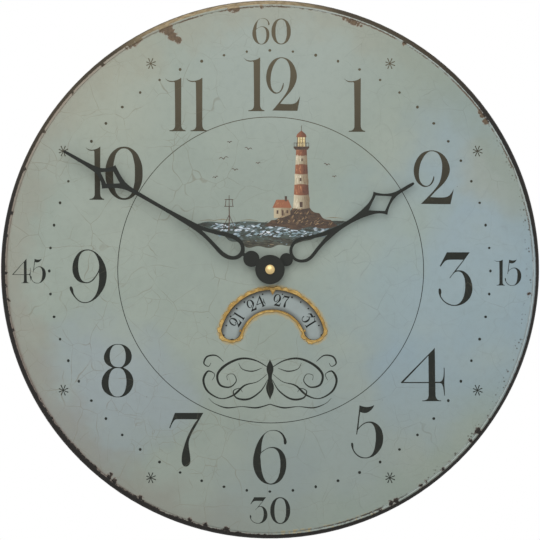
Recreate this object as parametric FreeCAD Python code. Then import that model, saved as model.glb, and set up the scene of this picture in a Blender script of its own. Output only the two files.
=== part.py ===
import FreeCAD, Part
import math
import os

# Round wall clock with two hands and a date disc that shows through the dial.
# Millimetres. The dial faces -Y, +X is right as the dial is read, +Z is up.
# Every piece is drawn about the hands' axis and moved down from the hanging nail at the origin.
# Depths are given along Y: zero is the wall, and the front of the clock is negative.

# Clearances that the pieces share
seat_clearance = 0.02
running_clearance = 0.05
hole_clearance = 0.15
free_clearance = 0.4
cut_overrun = 1.0
match_tolerance = 0.02

# Turns, in degrees
full_turn_degrees = 360.0
half_turn_degrees = 180.0
quarter_turn_degrees = 90.0
hexagon_degrees = 60.0

# Board with its rolled rim, and the painted dial plate in the board's rebate
case_radius = 180.0
board_thickness = 10.0
front_edge_round = 3.0
rear_edge_round = 2.4
rim_width = 3.9
rim_lip_height = 0.4
dial_thickness = 1.0

# Ring that holds the board off the wall, and its screws
ring_outer_radius = 160.0
ring_width = 24.0
ring_depth = 20.0
ring_edge_round = 1.5
ring_screw_count = 6
ring_screw_radius = 1.75
ring_screw_head_radius = 3.6
ring_screw_head_height = 2.4
ring_screw_sink = 8.0
ring_screw_bite = 6.5

# Keyhole plate that hangs on the nail, and its two screws
plate_length = 52.0
plate_height = 16.0
plate_thickness = 1.5
plate_corner = 2.5
nail_entry_radius = 4.0
nail_entry_drop = 3.0
nail_slot_radius = 2.0
nail_slot_rise = 6.0
nail_pocket_depth = 9.0
nail_pocket_margin = 1.5
plate_screw_offset = 19.0
plate_screw_radius = 1.4
plate_screw_head_radius = 2.9
plate_screw_head_height = 1.3
plate_screw_length = 12.0

# Date disc, its arbor, bush and knob
date_shift = 1.7
date_teeth = 31
date_disc_margin = 1.2
date_tooth_depth = 1.3
date_tip_shares = (0.32, 0.68)
date_disc_thickness = 1.0
date_disc_gap = 0.5
date_pocket_depth = 3.4
date_boss_radius = 6.0
date_arbor_radius = 1.5
date_bush_radius = 3.0
date_bush_flange_radius = 5.0
date_bush_flange = 1.0
date_knob_radius = 9.0
date_knob_length = 6.0
date_knob_grip_count = 24
date_knob_grip_depth = 0.7
date_knob_gap = 0.4

# Leaf spring that rests in a gap between two teeth of the date disc
jumper_angle_degrees = 196.0
jumper_leaf = 0.5
jumper_width = 1.0
jumper_length = 17.0
jumper_tip_gap = 0.25
jumper_tip_height = 1.5
jumper_tip_half = 1.2
jumper_slope = 1.0
jumper_eye_radius = 2.6
jumper_pocket_margin = 1.6
jumper_screw_radius = 0.9
jumper_screw_head_radius = 1.8
jumper_screw_bite = 4.0

# Calendar aperture in the dial, and the gilt surround on it
aperture_mid_radius = 28.7
aperture_half_width = 6.4
aperture_end_degrees = 73.0
surround_band = 2.6
surround_scallop_rise = 0.7
surround_thickness = 1.2
surround_outer_count = 22
surround_inner_count = 9
surround_end_count = 6
surround_tooth_length = 3.4
surround_tooth_half = 1.6

# Threaded bush of the movement, with the nut and washers that clamp the dial
bush_radius = 4.0
bush_flange_radius = 6.5
bush_flange = 0.8
bush_stand = 3.0
rubber_outer_radius = 11.0
rubber_thickness = 1.0
washer_radius = 8.2
washer_thickness = 0.5
clamp_nut_flats_radius = 6.0
clamp_nut_height = 2.0

# Hand arbors, collet and the domed nut
pipe_radius = 2.5
arbor_radius = 1.6
pivot_radius = 0.5
pivot_depth = 0.7
pivot_end_gap = 0.1
hand_gap = 0.9
hand_thickness = 0.6
hand_boss_radius = 9.8
hand_boss_thickness = 1.1
collet_radius = 3.6
collet_length = 1.6
hand_nut_radius = 3.15
hand_nut_skirt = 1.2
hand_nut_dome = 1.3

# Hour hand: places along it and half widths across it are shares of its length
hour_hand_degrees = 30.97
hour_length = 112.1
hour_lobe_share = 0.1133
hour_lobe_radius = 4.4
hour_loop_shares = ((0.1463, 0.0107), (0.1731, 0.0553), (0.2212, 0.0749),
                    (0.2944, 0.0571), (0.3613, 0.0348), (0.4068, 0.0259))
hour_neck_shares = ((0.4665, 0.0161), (0.5263, 0.0125), (0.5932, 0.0152),
                    (0.6699, 0.0277), (0.7235, 0.0455))
hour_corner_shares = (0.7663, 0.0803)
hour_blade_shares = ((0.8046, 0.0437), (0.835, 0.0259), (0.8689, 0.0143), (0.9135, 0.0102))
hour_tip_half = 0.87
hour_loop_opening_shares = ((0.1641, 0.0), (0.1838, 0.041), (0.223, 0.0553),
                            (0.2855, 0.0384), (0.3434, 0.0169), (0.4005, 0.0))
hour_lozenge_shares = ((0.6842, 0.0), (0.7663, 0.0535), (0.8448, 0.0))

# Minute hand, in the same terms
minute_hand_degrees = 150.15
minute_length = 158.7
minute_lobe_share = 0.0901
minute_lobe_radius = 5.4
minute_loop_shares = ((0.1285, 0.0076), (0.1512, 0.0397), (0.1903, 0.0523),
                      (0.2457, 0.0397), (0.3025, 0.0227), (0.3548, 0.0145))
minute_neck_shares = ((0.414, 0.0113), (0.4858, 0.0084), (0.6339, 0.0084),
                      (0.7095, 0.0164), (0.7461, 0.034))
minute_corner_shares = (0.7813, 0.057)
minute_blade_shares = ((0.8078, 0.0277), (0.8299, 0.0158), (0.8576, 0.011), (0.9168, 0.0076))
minute_tip_half = 0.87
minute_loop_opening_shares = ((0.1456, 0.0), (0.1626, 0.0284), (0.1966, 0.034),
                              (0.2489, 0.0214), (0.293, 0.0088), (0.3296, 0.0))
minute_lozenge_shares = ((0.7265, 0.0), (0.7763, 0.0302), (0.8198, 0.0))

# Case of the quartz movement
contact_room = 1.55
movement_depth = 15.0
movement_wall = 1.2
movement_corner = 3.0
cover_thickness = 1.2
divider_wall = 1.0
battery_radius = 7.25
battery_length = 50.5
battery_nub_radius = 2.75
battery_nub_length = 1.5
battery_clearance = 0.2
contact_thickness = 0.4
contact_half_width = 4.5
contact_spring_radius = 3.2
setting_knob_radius = 6.0
setting_knob_length = 2.0
setting_knob_gap = 0.4
setting_knob_grip_count = 16
setting_knob_grip_depth = 0.5

# Wheels lie in layers from the movement's front wall to its cover
wheel_thickness = 0.8
first_layer_gap = 0.5
layer_pitch = 1.4
tooth_height_share = 0.75
tooth_depth_share = 1.05
tooth_tip_share = 0.08
tooth_root_share = 0.245

# Motion work: tooth counts, centre distances and directions in degrees
cannon_teeth = 10
minute_wheel_teeth = 30
minute_pinion_teeth = 8
hour_wheel_teeth = 32
hour_pinion_teeth = 16
day_wheel_teeth = 32
setting_teeth = 10
minute_wheel_distance = 9.6
minute_wheel_degrees = 100.0
day_distance = 13.0
day_degrees = -40.0
setting_degrees = 100.0
day_arbor_radius = 1.0
finger_length = 4.98
finger_reach = 1.2
finger_half_width = 0.8
finger_degrees = 60.0
finger_hub_radius = 2.2

# Going train: tooth counts, modules and directions in degrees
centre_teeth = 60
train_pinion_teeth = 8
third_teeth = 64
fourth_teeth = 40
fifth_teeth = 48
centre_module = 0.28
third_module = 0.2
fourth_module = 0.26
fifth_module = 0.2
third_degrees = 20.0
fourth_degrees = 60.0
fifth_degrees = 110.0
rotor_degrees = 40.0
clutch_collar_radius = 2.3
clutch_reach_share = 0.67
clutch_spring_thickness = 0.3
clutch_spring_leg_half = 0.6

# Stepping motor and electronics
magnet_radius = 2.5
magnet_length = 1.6
stator_thickness = 1.0
stator_depth_share = 0.3
stator_air_gap = 0.35
stator_left_wall = 0.6
stator_lower_wall = 0.9
stator_upper_wall = 1.6
stator_arm_width = 1.2
coil_offset = 21.7
coil_flange_radius = 3.3
coil_core_half = 1.2
coil_flange = 0.8
coil_tube_wall = 0.5
coil_winding_radius = 2.9
coil_top_drop = 1.2
coil_length = 19.0
stator_foot = 3.0
stator_screw_radius = 0.6
stator_screw_head_radius = 1.1
stator_screw_head_height = 0.6
post_radius = 1.3
circuit_width = 22.0
circuit_height = 8.5
circuit_thickness = 0.8
circuit_depth_share = 0.72
circuit_margin = 1.0
circuit_post_inset = 3.0
crystal_radius = 1.0
crystal_length = 6.0

# Places along Y, from the wall to the front
board_back = -ring_depth
board_front = board_back - board_thickness
dial_front = board_front + rim_lip_height
dial_back = dial_front + dial_thickness
date_disc_front = dial_back + date_disc_gap
date_disc_back = date_disc_front + date_disc_thickness
movement_front = board_back + rubber_thickness
movement_floor = movement_front + movement_wall
movement_back = movement_front + movement_depth
cover_inner = movement_back - cover_thickness
clamp_nut_front = dial_front - washer_thickness - clamp_nut_height
bush_front = dial_front - bush_stand
hour_hand_back = bush_front - hand_gap
hour_hand_front = hour_hand_back - hand_thickness
hour_boss_front = hour_hand_back - hand_boss_thickness
pipe_front = hour_boss_front - hand_gap / 2
minute_hand_back = pipe_front - hand_gap
minute_hand_front = minute_hand_back - hand_thickness
minute_boss_front = minute_hand_back - hand_boss_thickness
hand_nut_front = minute_boss_front - hand_nut_skirt - hand_nut_dome

# Places in the plane of the dial, from the hands' axis
ring_inner_radius = ring_outer_radius - ring_width
ring_mid_radius = ring_outer_radius - ring_width / 2
date_root_radius = aperture_mid_radius + aperture_half_width + date_disc_margin
date_tip_radius = date_root_radius + date_tooth_depth
dial_seat_radius = case_radius - rim_width
dial_radius = dial_seat_radius - hole_clearance
nail_height = ring_mid_radius - nail_entry_drop


def polar(centre, distance, degrees):
    angle = math.radians(degrees)
    return (centre[0] + distance * math.cos(angle), centre[1] + distance * math.sin(angle))


hands_place = (0, 0)
minute_wheel_place = polar(hands_place, minute_wheel_distance, minute_wheel_degrees)
setting_place = polar(minute_wheel_place, minute_wheel_distance, setting_degrees)
day_place = polar(hands_place, day_distance, day_degrees)
third_distance = (centre_teeth + train_pinion_teeth) * centre_module / 2
third_place = polar(hands_place, third_distance, third_degrees)
fourth_distance = (third_teeth + train_pinion_teeth) * third_module / 2
fourth_place = polar(third_place, fourth_distance, fourth_degrees)
fifth_distance = (fourth_teeth + train_pinion_teeth) * fourth_module / 2
fifth_place = polar(fourth_place, fifth_distance, fifth_degrees)
rotor_distance = (fifth_teeth + train_pinion_teeth) * fifth_module / 2
rotor_place = polar(fifth_place, rotor_distance, rotor_degrees)
motion_module = 2 * minute_wheel_distance / (cannon_teeth + minute_wheel_teeth)
day_module = 2 * day_distance / (hour_pinion_teeth + day_wheel_teeth)
date_distance = date_tip_radius + finger_length - finger_reach
date_drop = math.sqrt(date_distance ** 2 - (day_place[0] - date_shift) ** 2) - day_place[1]
date_place = (date_shift, -date_drop)


# Basic shapes, all square to the dial

def disc(radius, near, far, place=hands_place):
    front = min(near, far)
    base = FreeCAD.Vector(place[0], front, place[1])
    return Part.makeCylinder(radius, abs(far - near), base, FreeCAD.Vector(0, 1, 0))


def tube(outer, inner, near, far, place=hands_place):
    front = min(near, far)
    back = max(near, far)
    return disc(outer, near, far, place).cut(disc(inner, front - cut_overrun, back + cut_overrun, place))


def block(low, high, near, far):
    base = FreeCAD.Vector(low[0], min(near, far), low[1])
    return Part.makeBox(high[0] - low[0], abs(far - near), high[1] - low[1], base)


def at_depth(points, depth):
    return [FreeCAD.Vector(x, depth, z) for x, z in points]


def slab(points, near, far):
    corners = at_depth(points, min(near, far))
    outline = Part.makePolygon(corners + corners[:1])
    return Part.Face(outline).extrude(FreeCAD.Vector(0, abs(far - near), 0))


def wire_slab(wires, near, far):
    return Part.Face(wires).extrude(FreeCAD.Vector(0, abs(far - near), 0))


def rounded_block(low, high, near, far, corner):
    solid = block(low, high, near, far)
    upright = [edge for edge in solid.Edges if runs_through(edge)]
    return solid.makeFillet(corner, upright)


def runs_through(edge):
    start = edge.Vertexes[0].Point
    end = edge.Vertexes[-1].Point
    return abs(start.x - end.x) + abs(start.z - end.z) < match_tolerance


def edge_circles(solid, radius, depth):
    found = []
    for edge in solid.Edges:
        if not isinstance(edge.Curve, Part.Circle):
            continue
        near = abs(edge.Curve.Center.y - depth) < match_tolerance
        if near and abs(edge.Curve.Radius - radius) < match_tolerance:
            found.append(edge)
    return found


dial_centre = FreeCAD.Vector(0, 0, -nail_height)


def save(name, shape):
    placed = shape.copy()
    placed.translate(dial_centre)
    placed.exportStep("parts/" + name + ".step")


# Toothed wheels: straight-sided teeth with play, one polygon each

def tooth_phase(driver_teeth, driver_phase, teeth, direction):
    offset = (direction - driver_phase) * driver_teeth / teeth
    return direction + half_turn_degrees + offset + half_turn_degrees / teeth


def toothed_wheel(teeth, module, phase, place, near, far):
    pitch_radius = teeth * module / 2
    tip_radius = pitch_radius + tooth_height_share * module
    root_radius = pitch_radius - tooth_depth_share * module
    spacing = full_turn_degrees / teeth
    points = []
    for number in range(teeth):
        middle = phase + number * spacing
        points.append(polar(place, root_radius, middle - tooth_root_share * spacing))
        points.append(polar(place, tip_radius, middle - tooth_tip_share * spacing))
        points.append(polar(place, tip_radius, middle + tooth_tip_share * spacing))
        points.append(polar(place, root_radius, middle + tooth_root_share * spacing))
    return slab(points, near, far)


def layer(number):
    front = movement_floor + first_layer_gap + number * layer_pitch
    return front, front + wheel_thickness


def pivoted_arbor(place, radius=pivot_radius):
    return disc(radius, movement_floor - pivot_depth, cover_inner + pivot_depth, place)


day_layer = layer(0)
hour_layer = layer(1)
minute_layer = layer(2)
centre_layer = layer(3)
third_layer = layer(4)
fourth_layer = layer(5)
fifth_layer = layer(6)

cannon_phase = minute_hand_degrees
minute_wheel_phase = tooth_phase(cannon_teeth, cannon_phase, minute_wheel_teeth, minute_wheel_degrees)
hour_wheel_phase = tooth_phase(minute_pinion_teeth, minute_wheel_phase, hour_wheel_teeth,
                               minute_wheel_degrees + half_turn_degrees)
day_wheel_phase = tooth_phase(hour_pinion_teeth, hour_wheel_phase, day_wheel_teeth, day_degrees)
setting_phase = tooth_phase(minute_wheel_teeth, minute_wheel_phase, setting_teeth, setting_degrees)
rotor_phase = rotor_degrees
fifth_phase = tooth_phase(train_pinion_teeth, rotor_phase, fifth_teeth, rotor_degrees + half_turn_degrees)
fourth_phase = tooth_phase(train_pinion_teeth, fifth_phase, fourth_teeth, fifth_degrees + half_turn_degrees)
third_phase = tooth_phase(train_pinion_teeth, fourth_phase, third_teeth, fourth_degrees + half_turn_degrees)
centre_phase = tooth_phase(train_pinion_teeth, third_phase, centre_teeth, third_degrees + half_turn_degrees)


# Board and dial

def spring_frame(radius, along):
    direction = math.radians(jumper_angle_degrees)
    x = date_place[0] + radius * math.cos(direction) + along * math.sin(direction)
    z = date_place[1] + radius * math.sin(direction) - along * math.cos(direction)
    return (x, z)


jumper_valley_radius = date_root_radius + jumper_tip_gap
jumper_leaf_radius = date_tip_radius + jumper_tip_height - (date_tip_radius - date_root_radius)
jumper_eye_place = spring_frame(jumper_leaf_radius + jumper_slope + jumper_leaf / 2, jumper_length)


def date_pockets(near, far):
    round_pocket = disc(date_tip_radius + free_clearance, near, far, date_place)
    finger_pocket = disc(finger_length + free_clearance, near, far, day_place)
    start = spring_frame(date_root_radius, -jumper_eye_radius)
    low = spring_frame(date_root_radius, jumper_length + jumper_eye_radius)
    outside = jumper_leaf_radius + jumper_slope + jumper_eye_radius + jumper_pocket_margin
    spring_pocket = slab([start, low,
                          spring_frame(outside, jumper_length + jumper_eye_radius),
                          spring_frame(outside, -jumper_eye_radius)], near, far)
    return round_pocket.fuse([finger_pocket, spring_pocket])


def ring_screw_places():
    spacing = full_turn_degrees / ring_screw_count
    return [polar(hands_place, ring_mid_radius, quarter_turn_degrees + spacing * (number + 1 / 2))
            for number in range(ring_screw_count)]


def board():
    solid = disc(case_radius, board_front, board_back)
    solid = solid.makeFillet(front_edge_round, edge_circles(solid, case_radius, board_front))
    solid = solid.makeFillet(rear_edge_round, edge_circles(solid, case_radius, board_back))
    cutters = [disc(dial_seat_radius, board_front - cut_overrun, dial_back)]
    cutters.append(date_pockets(dial_back - cut_overrun, dial_back + date_pocket_depth))
    cutters.append(disc(bush_radius + hole_clearance, board_front, board_back + cut_overrun))
    cutters.append(disc(bush_flange_radius + hole_clearance, board_back - pivot_end_gap,
                        board_back + cut_overrun))
    through = board_back + cut_overrun
    cutters.append(disc(day_arbor_radius + hole_clearance, board_front, through, day_place))
    cutters.append(disc(date_bush_radius + seat_clearance, board_front, through, date_place))
    cutters.append(disc(jumper_screw_radius + seat_clearance, board_front,
                        dial_back + date_pocket_depth + jumper_screw_bite, jumper_eye_place))
    for place in ring_screw_places():
        cutters.append(disc(ring_screw_radius + seat_clearance, board_back - ring_screw_bite,
                            board_back + cut_overrun, place))
    for cutter in cutters:
        solid = solid.cut(cutter)
    return solid


def aperture_wire(offset, depth):
    outer = aperture_mid_radius + aperture_half_width + offset
    inner = aperture_mid_radius - aperture_half_width - offset
    end_radius = aperture_half_width + offset
    left = quarter_turn_degrees + aperture_end_degrees
    right = quarter_turn_degrees - aperture_end_degrees

    def spot(radius, degrees):
        x, z = polar(date_place, radius, degrees)
        return FreeCAD.Vector(x, depth, z)

    def end_spot(degrees, side):
        end_centre = polar(date_place, aperture_mid_radius, degrees)
        x, z = polar(end_centre, end_radius, degrees + side * quarter_turn_degrees)
        return FreeCAD.Vector(x, depth, z)

    edges = [Part.Arc(spot(outer, left), spot(outer, quarter_turn_degrees), spot(outer, right)).toShape(),
             Part.Arc(spot(outer, right), end_spot(right, -1), spot(inner, right)).toShape(),
             Part.Arc(spot(inner, right), spot(inner, quarter_turn_degrees), spot(inner, left)).toShape(),
             Part.Arc(spot(inner, left), end_spot(left, 1), spot(outer, left)).toShape()]
    return Part.Wire(edges)


def aperture(near, far):
    return wire_slab([aperture_wire(0, min(near, far))], near, far)


def dial_plate():
    solid = disc(dial_radius, dial_front, dial_back)
    solid = solid.cut(disc(bush_radius + hole_clearance, board_front - cut_overrun, board_back))
    return solid.cut(aperture(dial_front - cut_overrun, dial_back + cut_overrun))


# Gilt surround: a scalloped outline about the aperture, with one tooth for a pointer

def outline_spots(start, end, count):
    step = 1 / (2 * count)
    return [start + (end - start) * step * number for number in range(2 * count)]


def surround_points():
    points = []
    left = quarter_turn_degrees + aperture_end_degrees
    right = quarter_turn_degrees - aperture_end_degrees
    reach = aperture_half_width + surround_band

    def rise(index):
        return surround_scallop_rise if index % 2 else 0

    for index, degrees in enumerate(outline_spots(left, right, surround_outer_count)):
        points.append(polar(date_place, aperture_mid_radius + reach + rise(index), degrees))
    for index, turn in enumerate(outline_spots(0, -half_turn_degrees, surround_end_count)):
        centre = polar(date_place, aperture_mid_radius, right)
        points.append(polar(centre, reach + rise(index), right + turn))
    for index, degrees in enumerate(outline_spots(right, left, surround_inner_count)):
        points.append(polar(date_place, aperture_mid_radius - reach - rise(index), degrees))
    for index, turn in enumerate(outline_spots(half_turn_degrees, 0, surround_end_count)):
        centre = polar(date_place, aperture_mid_radius, left)
        points.append(polar(centre, reach + rise(index), left + turn))
    return points


def surround():
    spots = at_depth(surround_points(), dial_front - surround_thickness)
    spots = spots + spots[:1]
    edges = [Part.Arc(spots[index], spots[index + 1], spots[index + 2]).toShape()
             for index in range(0, len(spots) - 2, 2)]
    solid = wire_slab([Part.Wire(edges)], dial_front - surround_thickness, dial_front)
    solid = solid.cut(aperture(dial_front - surround_thickness - cut_overrun, dial_front + cut_overrun))
    edge_height = date_place[1] + aperture_mid_radius + aperture_half_width
    tooth = slab([(date_place[0] - surround_tooth_half, edge_height + surround_band / 2),
                  (date_place[0] + surround_tooth_half, edge_height + surround_band / 2),
                  (date_place[0], edge_height - surround_tooth_length)],
                 dial_front - surround_thickness, dial_front)
    return solid.fuse(tooth).removeSplitter()


# Ring and hanging plate

def keyhole(near, far):
    entry_place = (0, nail_height)
    slot_place = (0, nail_height + nail_slot_rise)
    half = nail_slot_radius
    entry = disc(nail_entry_radius, near, far, entry_place)
    slot = block((-half, nail_height), (half, nail_height + nail_slot_rise), near, far)
    return entry.fuse([slot, disc(half, near, far, slot_place)]).removeSplitter()


def nail_pocket(near, far):
    half = nail_entry_radius + nail_pocket_margin
    low = (-half, nail_height)
    high = (half, nail_height + nail_slot_rise)
    lower = disc(half, near, far, (0, nail_height))
    upper = disc(half, near, far, (0, nail_height + nail_slot_rise))
    return lower.fuse([block(low, high, near, far), upper]).removeSplitter()


def plate_outline(near, far, clearance):
    low = (-plate_length / 2 - clearance, ring_mid_radius - plate_height / 2 - clearance)
    high = (plate_length / 2 + clearance, ring_mid_radius + plate_height / 2 + clearance)
    return rounded_block(low, high, near, far, plate_corner)


def plate_screw_places():
    return [(-plate_screw_offset, ring_mid_radius), (plate_screw_offset, ring_mid_radius)]


def hanger_plate():
    solid = plate_outline(-plate_thickness, 0, 0)
    solid = solid.cut(keyhole(-plate_thickness - cut_overrun, cut_overrun))
    for place in plate_screw_places():
        solid = solid.cut(countersunk_screw(place, 0, -plate_screw_length, seat_clearance))
    return solid


def countersunk_screw(place, head_depth, tip_depth, clearance):
    base = FreeCAD.Vector(place[0], head_depth, place[1])
    head = Part.makeCone(plate_screw_head_radius + clearance, plate_screw_radius + clearance,
                         plate_screw_head_height, base, FreeCAD.Vector(0, -1, 0))
    shank = disc(plate_screw_radius + clearance, head_depth, tip_depth - clearance, place)
    return head.fuse(shank).removeSplitter()


def hanger_screws():
    return Part.makeCompound([countersunk_screw(place, 0, -plate_screw_length, 0)
                              for place in plate_screw_places()])


def ring_screw(place, clearance):
    head_back = -ring_screw_sink
    head_front = head_back - ring_screw_head_height
    head = disc(ring_screw_head_radius + clearance, head_back, head_front, place)
    shank = disc(ring_screw_radius + clearance, head_back, board_back - ring_screw_bite, place)
    return head.fuse(shank).removeSplitter()


def ring_screws():
    return Part.makeCompound([ring_screw(place, 0) for place in ring_screw_places()])


def back_ring():
    solid = tube(ring_outer_radius, ring_inner_radius, board_back, 0)
    rounded = edge_circles(solid, ring_outer_radius, 0) + edge_circles(solid, ring_inner_radius, 0)
    solid = solid.makeFillet(ring_edge_round, rounded)
    cutters = [plate_outline(-plate_thickness, cut_overrun, seat_clearance)]
    cutters.append(nail_pocket(-plate_thickness - nail_pocket_depth, 0))
    for place in plate_screw_places():
        cutters.append(disc(plate_screw_radius + seat_clearance, -plate_screw_length, 0, place))
    for place in ring_screw_places():
        cutters.append(disc(ring_screw_radius + seat_clearance, board_back - cut_overrun, 0, place))
        cutters.append(disc(ring_screw_head_radius + hole_clearance, -ring_screw_sink - ring_screw_head_height,
                            cut_overrun, place))
    for cutter in cutters:
        solid = solid.cut(cutter)
    return solid


# Date work

def date_disc():
    spacing = full_turn_degrees / date_teeth
    points = []
    for number in range(date_teeth):
        valley = jumper_angle_degrees + number * spacing
        points.append(polar(date_place, date_root_radius, valley))
        for share in date_tip_shares:
            points.append(polar(date_place, date_tip_radius, valley + share * spacing))
    solid = slab(points, date_disc_front, date_disc_back)
    boss = disc(date_boss_radius, date_disc_back, date_hub_back, date_place)
    solid = solid.fuse(boss)
    return solid.cut(disc(date_arbor_radius + seat_clearance, date_disc_front - cut_overrun,
                          date_hub_back + cut_overrun, date_place))


pocket_floor = dial_back + date_pocket_depth
date_flange_front = pocket_floor - date_bush_flange
date_hub_back = date_flange_front - running_clearance
date_bush_back = board_back
date_knob_front = date_bush_back + date_knob_gap
date_knob_back = date_knob_front + date_knob_length


def date_bush():
    flange = disc(date_bush_flange_radius, date_flange_front, pocket_floor, date_place)
    sleeve = disc(date_bush_radius, pocket_floor, date_bush_back, date_place)
    bore = disc(date_arbor_radius + running_clearance, date_flange_front - cut_overrun,
                date_bush_back + cut_overrun, date_place)
    return flange.fuse(sleeve).cut(bore)


def date_arbor():
    return disc(date_arbor_radius, date_disc_front, date_knob_back - date_knob_length / 2, date_place)


def gripped_knob(radius, grips, grip_depth, near, far, place):
    solid = disc(radius, near, far, place)
    spacing = full_turn_degrees / grips
    grooves = [disc(grip_depth, near - cut_overrun, far + cut_overrun, polar(place, radius, number * spacing))
               for number in range(grips)]
    return solid.cut(Part.makeCompound(grooves))


def date_knob():
    solid = gripped_knob(date_knob_radius, date_knob_grip_count, date_knob_grip_depth,
                         date_knob_front, date_knob_back, date_place)
    return solid.cut(disc(date_arbor_radius + seat_clearance, date_knob_front - cut_overrun,
                          date_knob_back - date_knob_length / 2, date_place))


def date_jumper():
    near = date_disc_front
    far = date_disc_front + jumper_width
    leaf_start = jumper_leaf_radius
    leaf_end = jumper_leaf_radius + jumper_slope
    points = [spring_frame(jumper_valley_radius, 0),
              spring_frame(leaf_start, jumper_tip_half),
              spring_frame(leaf_end, jumper_length),
              spring_frame(leaf_end + jumper_leaf, jumper_length),
              spring_frame(leaf_start + jumper_leaf, -jumper_tip_half),
              spring_frame(leaf_start, -jumper_tip_half)]
    leaf = slab(points, near, far)
    eye = disc(jumper_eye_radius, near, pocket_floor, jumper_eye_place)
    solid = leaf.fuse(eye)
    return solid.cut(disc(jumper_screw_radius + seat_clearance, near - cut_overrun,
                          pocket_floor + cut_overrun, jumper_eye_place))


def jumper_screw():
    head_back = date_disc_front
    head = disc(jumper_screw_head_radius, head_back - date_disc_gap + running_clearance, head_back,
                jumper_eye_place)
    shank = disc(jumper_screw_radius, head_back, pocket_floor + jumper_screw_bite, jumper_eye_place)
    return head.fuse(shank).removeSplitter()


# Bush, washers and nut

def threaded_bush():
    body = disc(bush_radius, bush_front, movement_floor)
    flange = disc(bush_flange_radius, movement_front - bush_flange, movement_front)
    bore = disc(pipe_radius + running_clearance, bush_front - cut_overrun, movement_floor + cut_overrun)
    return body.fuse(flange).removeSplitter().cut(bore)


def rubber_washer():
    return tube(rubber_outer_radius, bush_flange_radius + hole_clearance, board_back, movement_front)


def washer():
    return tube(washer_radius, bush_radius + hole_clearance, dial_front, dial_front - washer_thickness)


def clamp_nut():
    corner_radius = clamp_nut_flats_radius / math.cos(math.radians(hexagon_degrees / 2))
    corners = [polar(hands_place, corner_radius, hexagon_degrees * number) for number in range(6)]
    back = dial_front - washer_thickness
    solid = slab(corners, clamp_nut_front, back)
    return solid.cut(disc(bush_radius + seat_clearance, clamp_nut_front - cut_overrun, back + cut_overrun))


# Hands: mirrored outlines along the hand, turned to where the hand points

def hand_spot(place, direction, depth):
    along, across = place
    angle = math.radians(direction)
    x = along * math.cos(angle) - across * math.sin(angle)
    z = along * math.sin(angle) + across * math.cos(angle)
    return FreeCAD.Vector(x, depth, z)


def along_hand(shares, length):
    return tuple((along * length, across * length) for along, across in shares)


def smooth_edge(places, direction, depth):
    curve = Part.BSplineCurve()
    curve.interpolate([hand_spot(place, direction, depth) for place in places])
    return curve.toShape()


def straight_edge(first, second, direction, depth):
    return Part.LineSegment(hand_spot(first, direction, depth), hand_spot(second, direction, depth)).toShape()


def mirrored(places):
    return [(along, -across) for along, across in reversed(places)]


def smooth_opening(places, direction, depth):
    return Part.Wire([smooth_edge(places, direction, depth),
                      smooth_edge(mirrored(places), direction, depth)])


def pointed_opening(places, direction, depth):
    corners = list(places) + mirrored(places)[1:-1]
    spots = [hand_spot(place, direction, depth) for place in corners]
    return Part.makePolygon(spots + spots[:1])


def hand_blade(shank_side, blade_side, openings, direction, front, back):
    tip_side = blade_side[-1]
    tip_end = (tip_side[0] + tip_side[1], 0)
    tip_edge = Part.Arc(hand_spot(tip_side, direction, front), hand_spot(tip_end, direction, front),
                        hand_spot((tip_side[0], -tip_side[1]), direction, front)).toShape()
    start = shank_side[0]
    hub_edge = straight_edge((start[0], -start[1]), start, direction, front)
    outline = Part.Wire([smooth_edge(shank_side, direction, front), smooth_edge(blade_side, direction, front),
                         tip_edge, smooth_edge(mirrored(blade_side), direction, front),
                         smooth_edge(mirrored(shank_side), direction, front), hub_edge])
    solid = wire_slab([outline], front, back)
    deep = front - cut_overrun
    loop_opening, lozenge_opening = openings
    wires = (smooth_opening(loop_opening, direction, deep), pointed_opening(lozenge_opening, direction, deep))
    for wire in wires:
        solid = solid.cut(wire_slab([wire], deep, back + cut_overrun))
    return solid


def hand_stem(reach, half, direction, front, back):
    corners = ((0, half), (0, -half), (reach, -half), (reach, half))
    spots = [hand_spot(place, direction, 0) for place in corners]
    return slab([(spot.x, spot.z) for spot in spots], front, back)


def hour_hand():
    tip_side = (hour_length - hour_tip_half, hour_tip_half)
    shank_side = along_hand(hour_loop_shares + hour_neck_shares + (hour_corner_shares,), hour_length)
    blade_side = along_hand((hour_corner_shares,) + hour_blade_shares, hour_length) + (tip_side,)
    loop_opening = along_hand(hour_loop_opening_shares, hour_length)
    lozenge_opening = along_hand(hour_lozenge_shares, hour_length)
    blade = hand_blade(shank_side, blade_side, (loop_opening, lozenge_opening), hour_hand_degrees,
                       hour_hand_front, hour_hand_back)
    lobe = disc(hour_lobe_radius, hour_hand_front, hour_hand_back,
                polar(hands_place, hour_lobe_share * hour_length, hour_hand_degrees))
    stem = hand_stem(loop_opening[0][0], shank_side[0][1], hour_hand_degrees, hour_hand_front, hour_hand_back)
    boss = disc(hand_boss_radius, hour_boss_front, hour_hand_back)
    solid = blade.fuse([lobe, stem, boss]).removeSplitter()
    return solid.cut(disc(pipe_radius + seat_clearance, hour_boss_front - cut_overrun,
                          hour_hand_back + cut_overrun))


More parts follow.
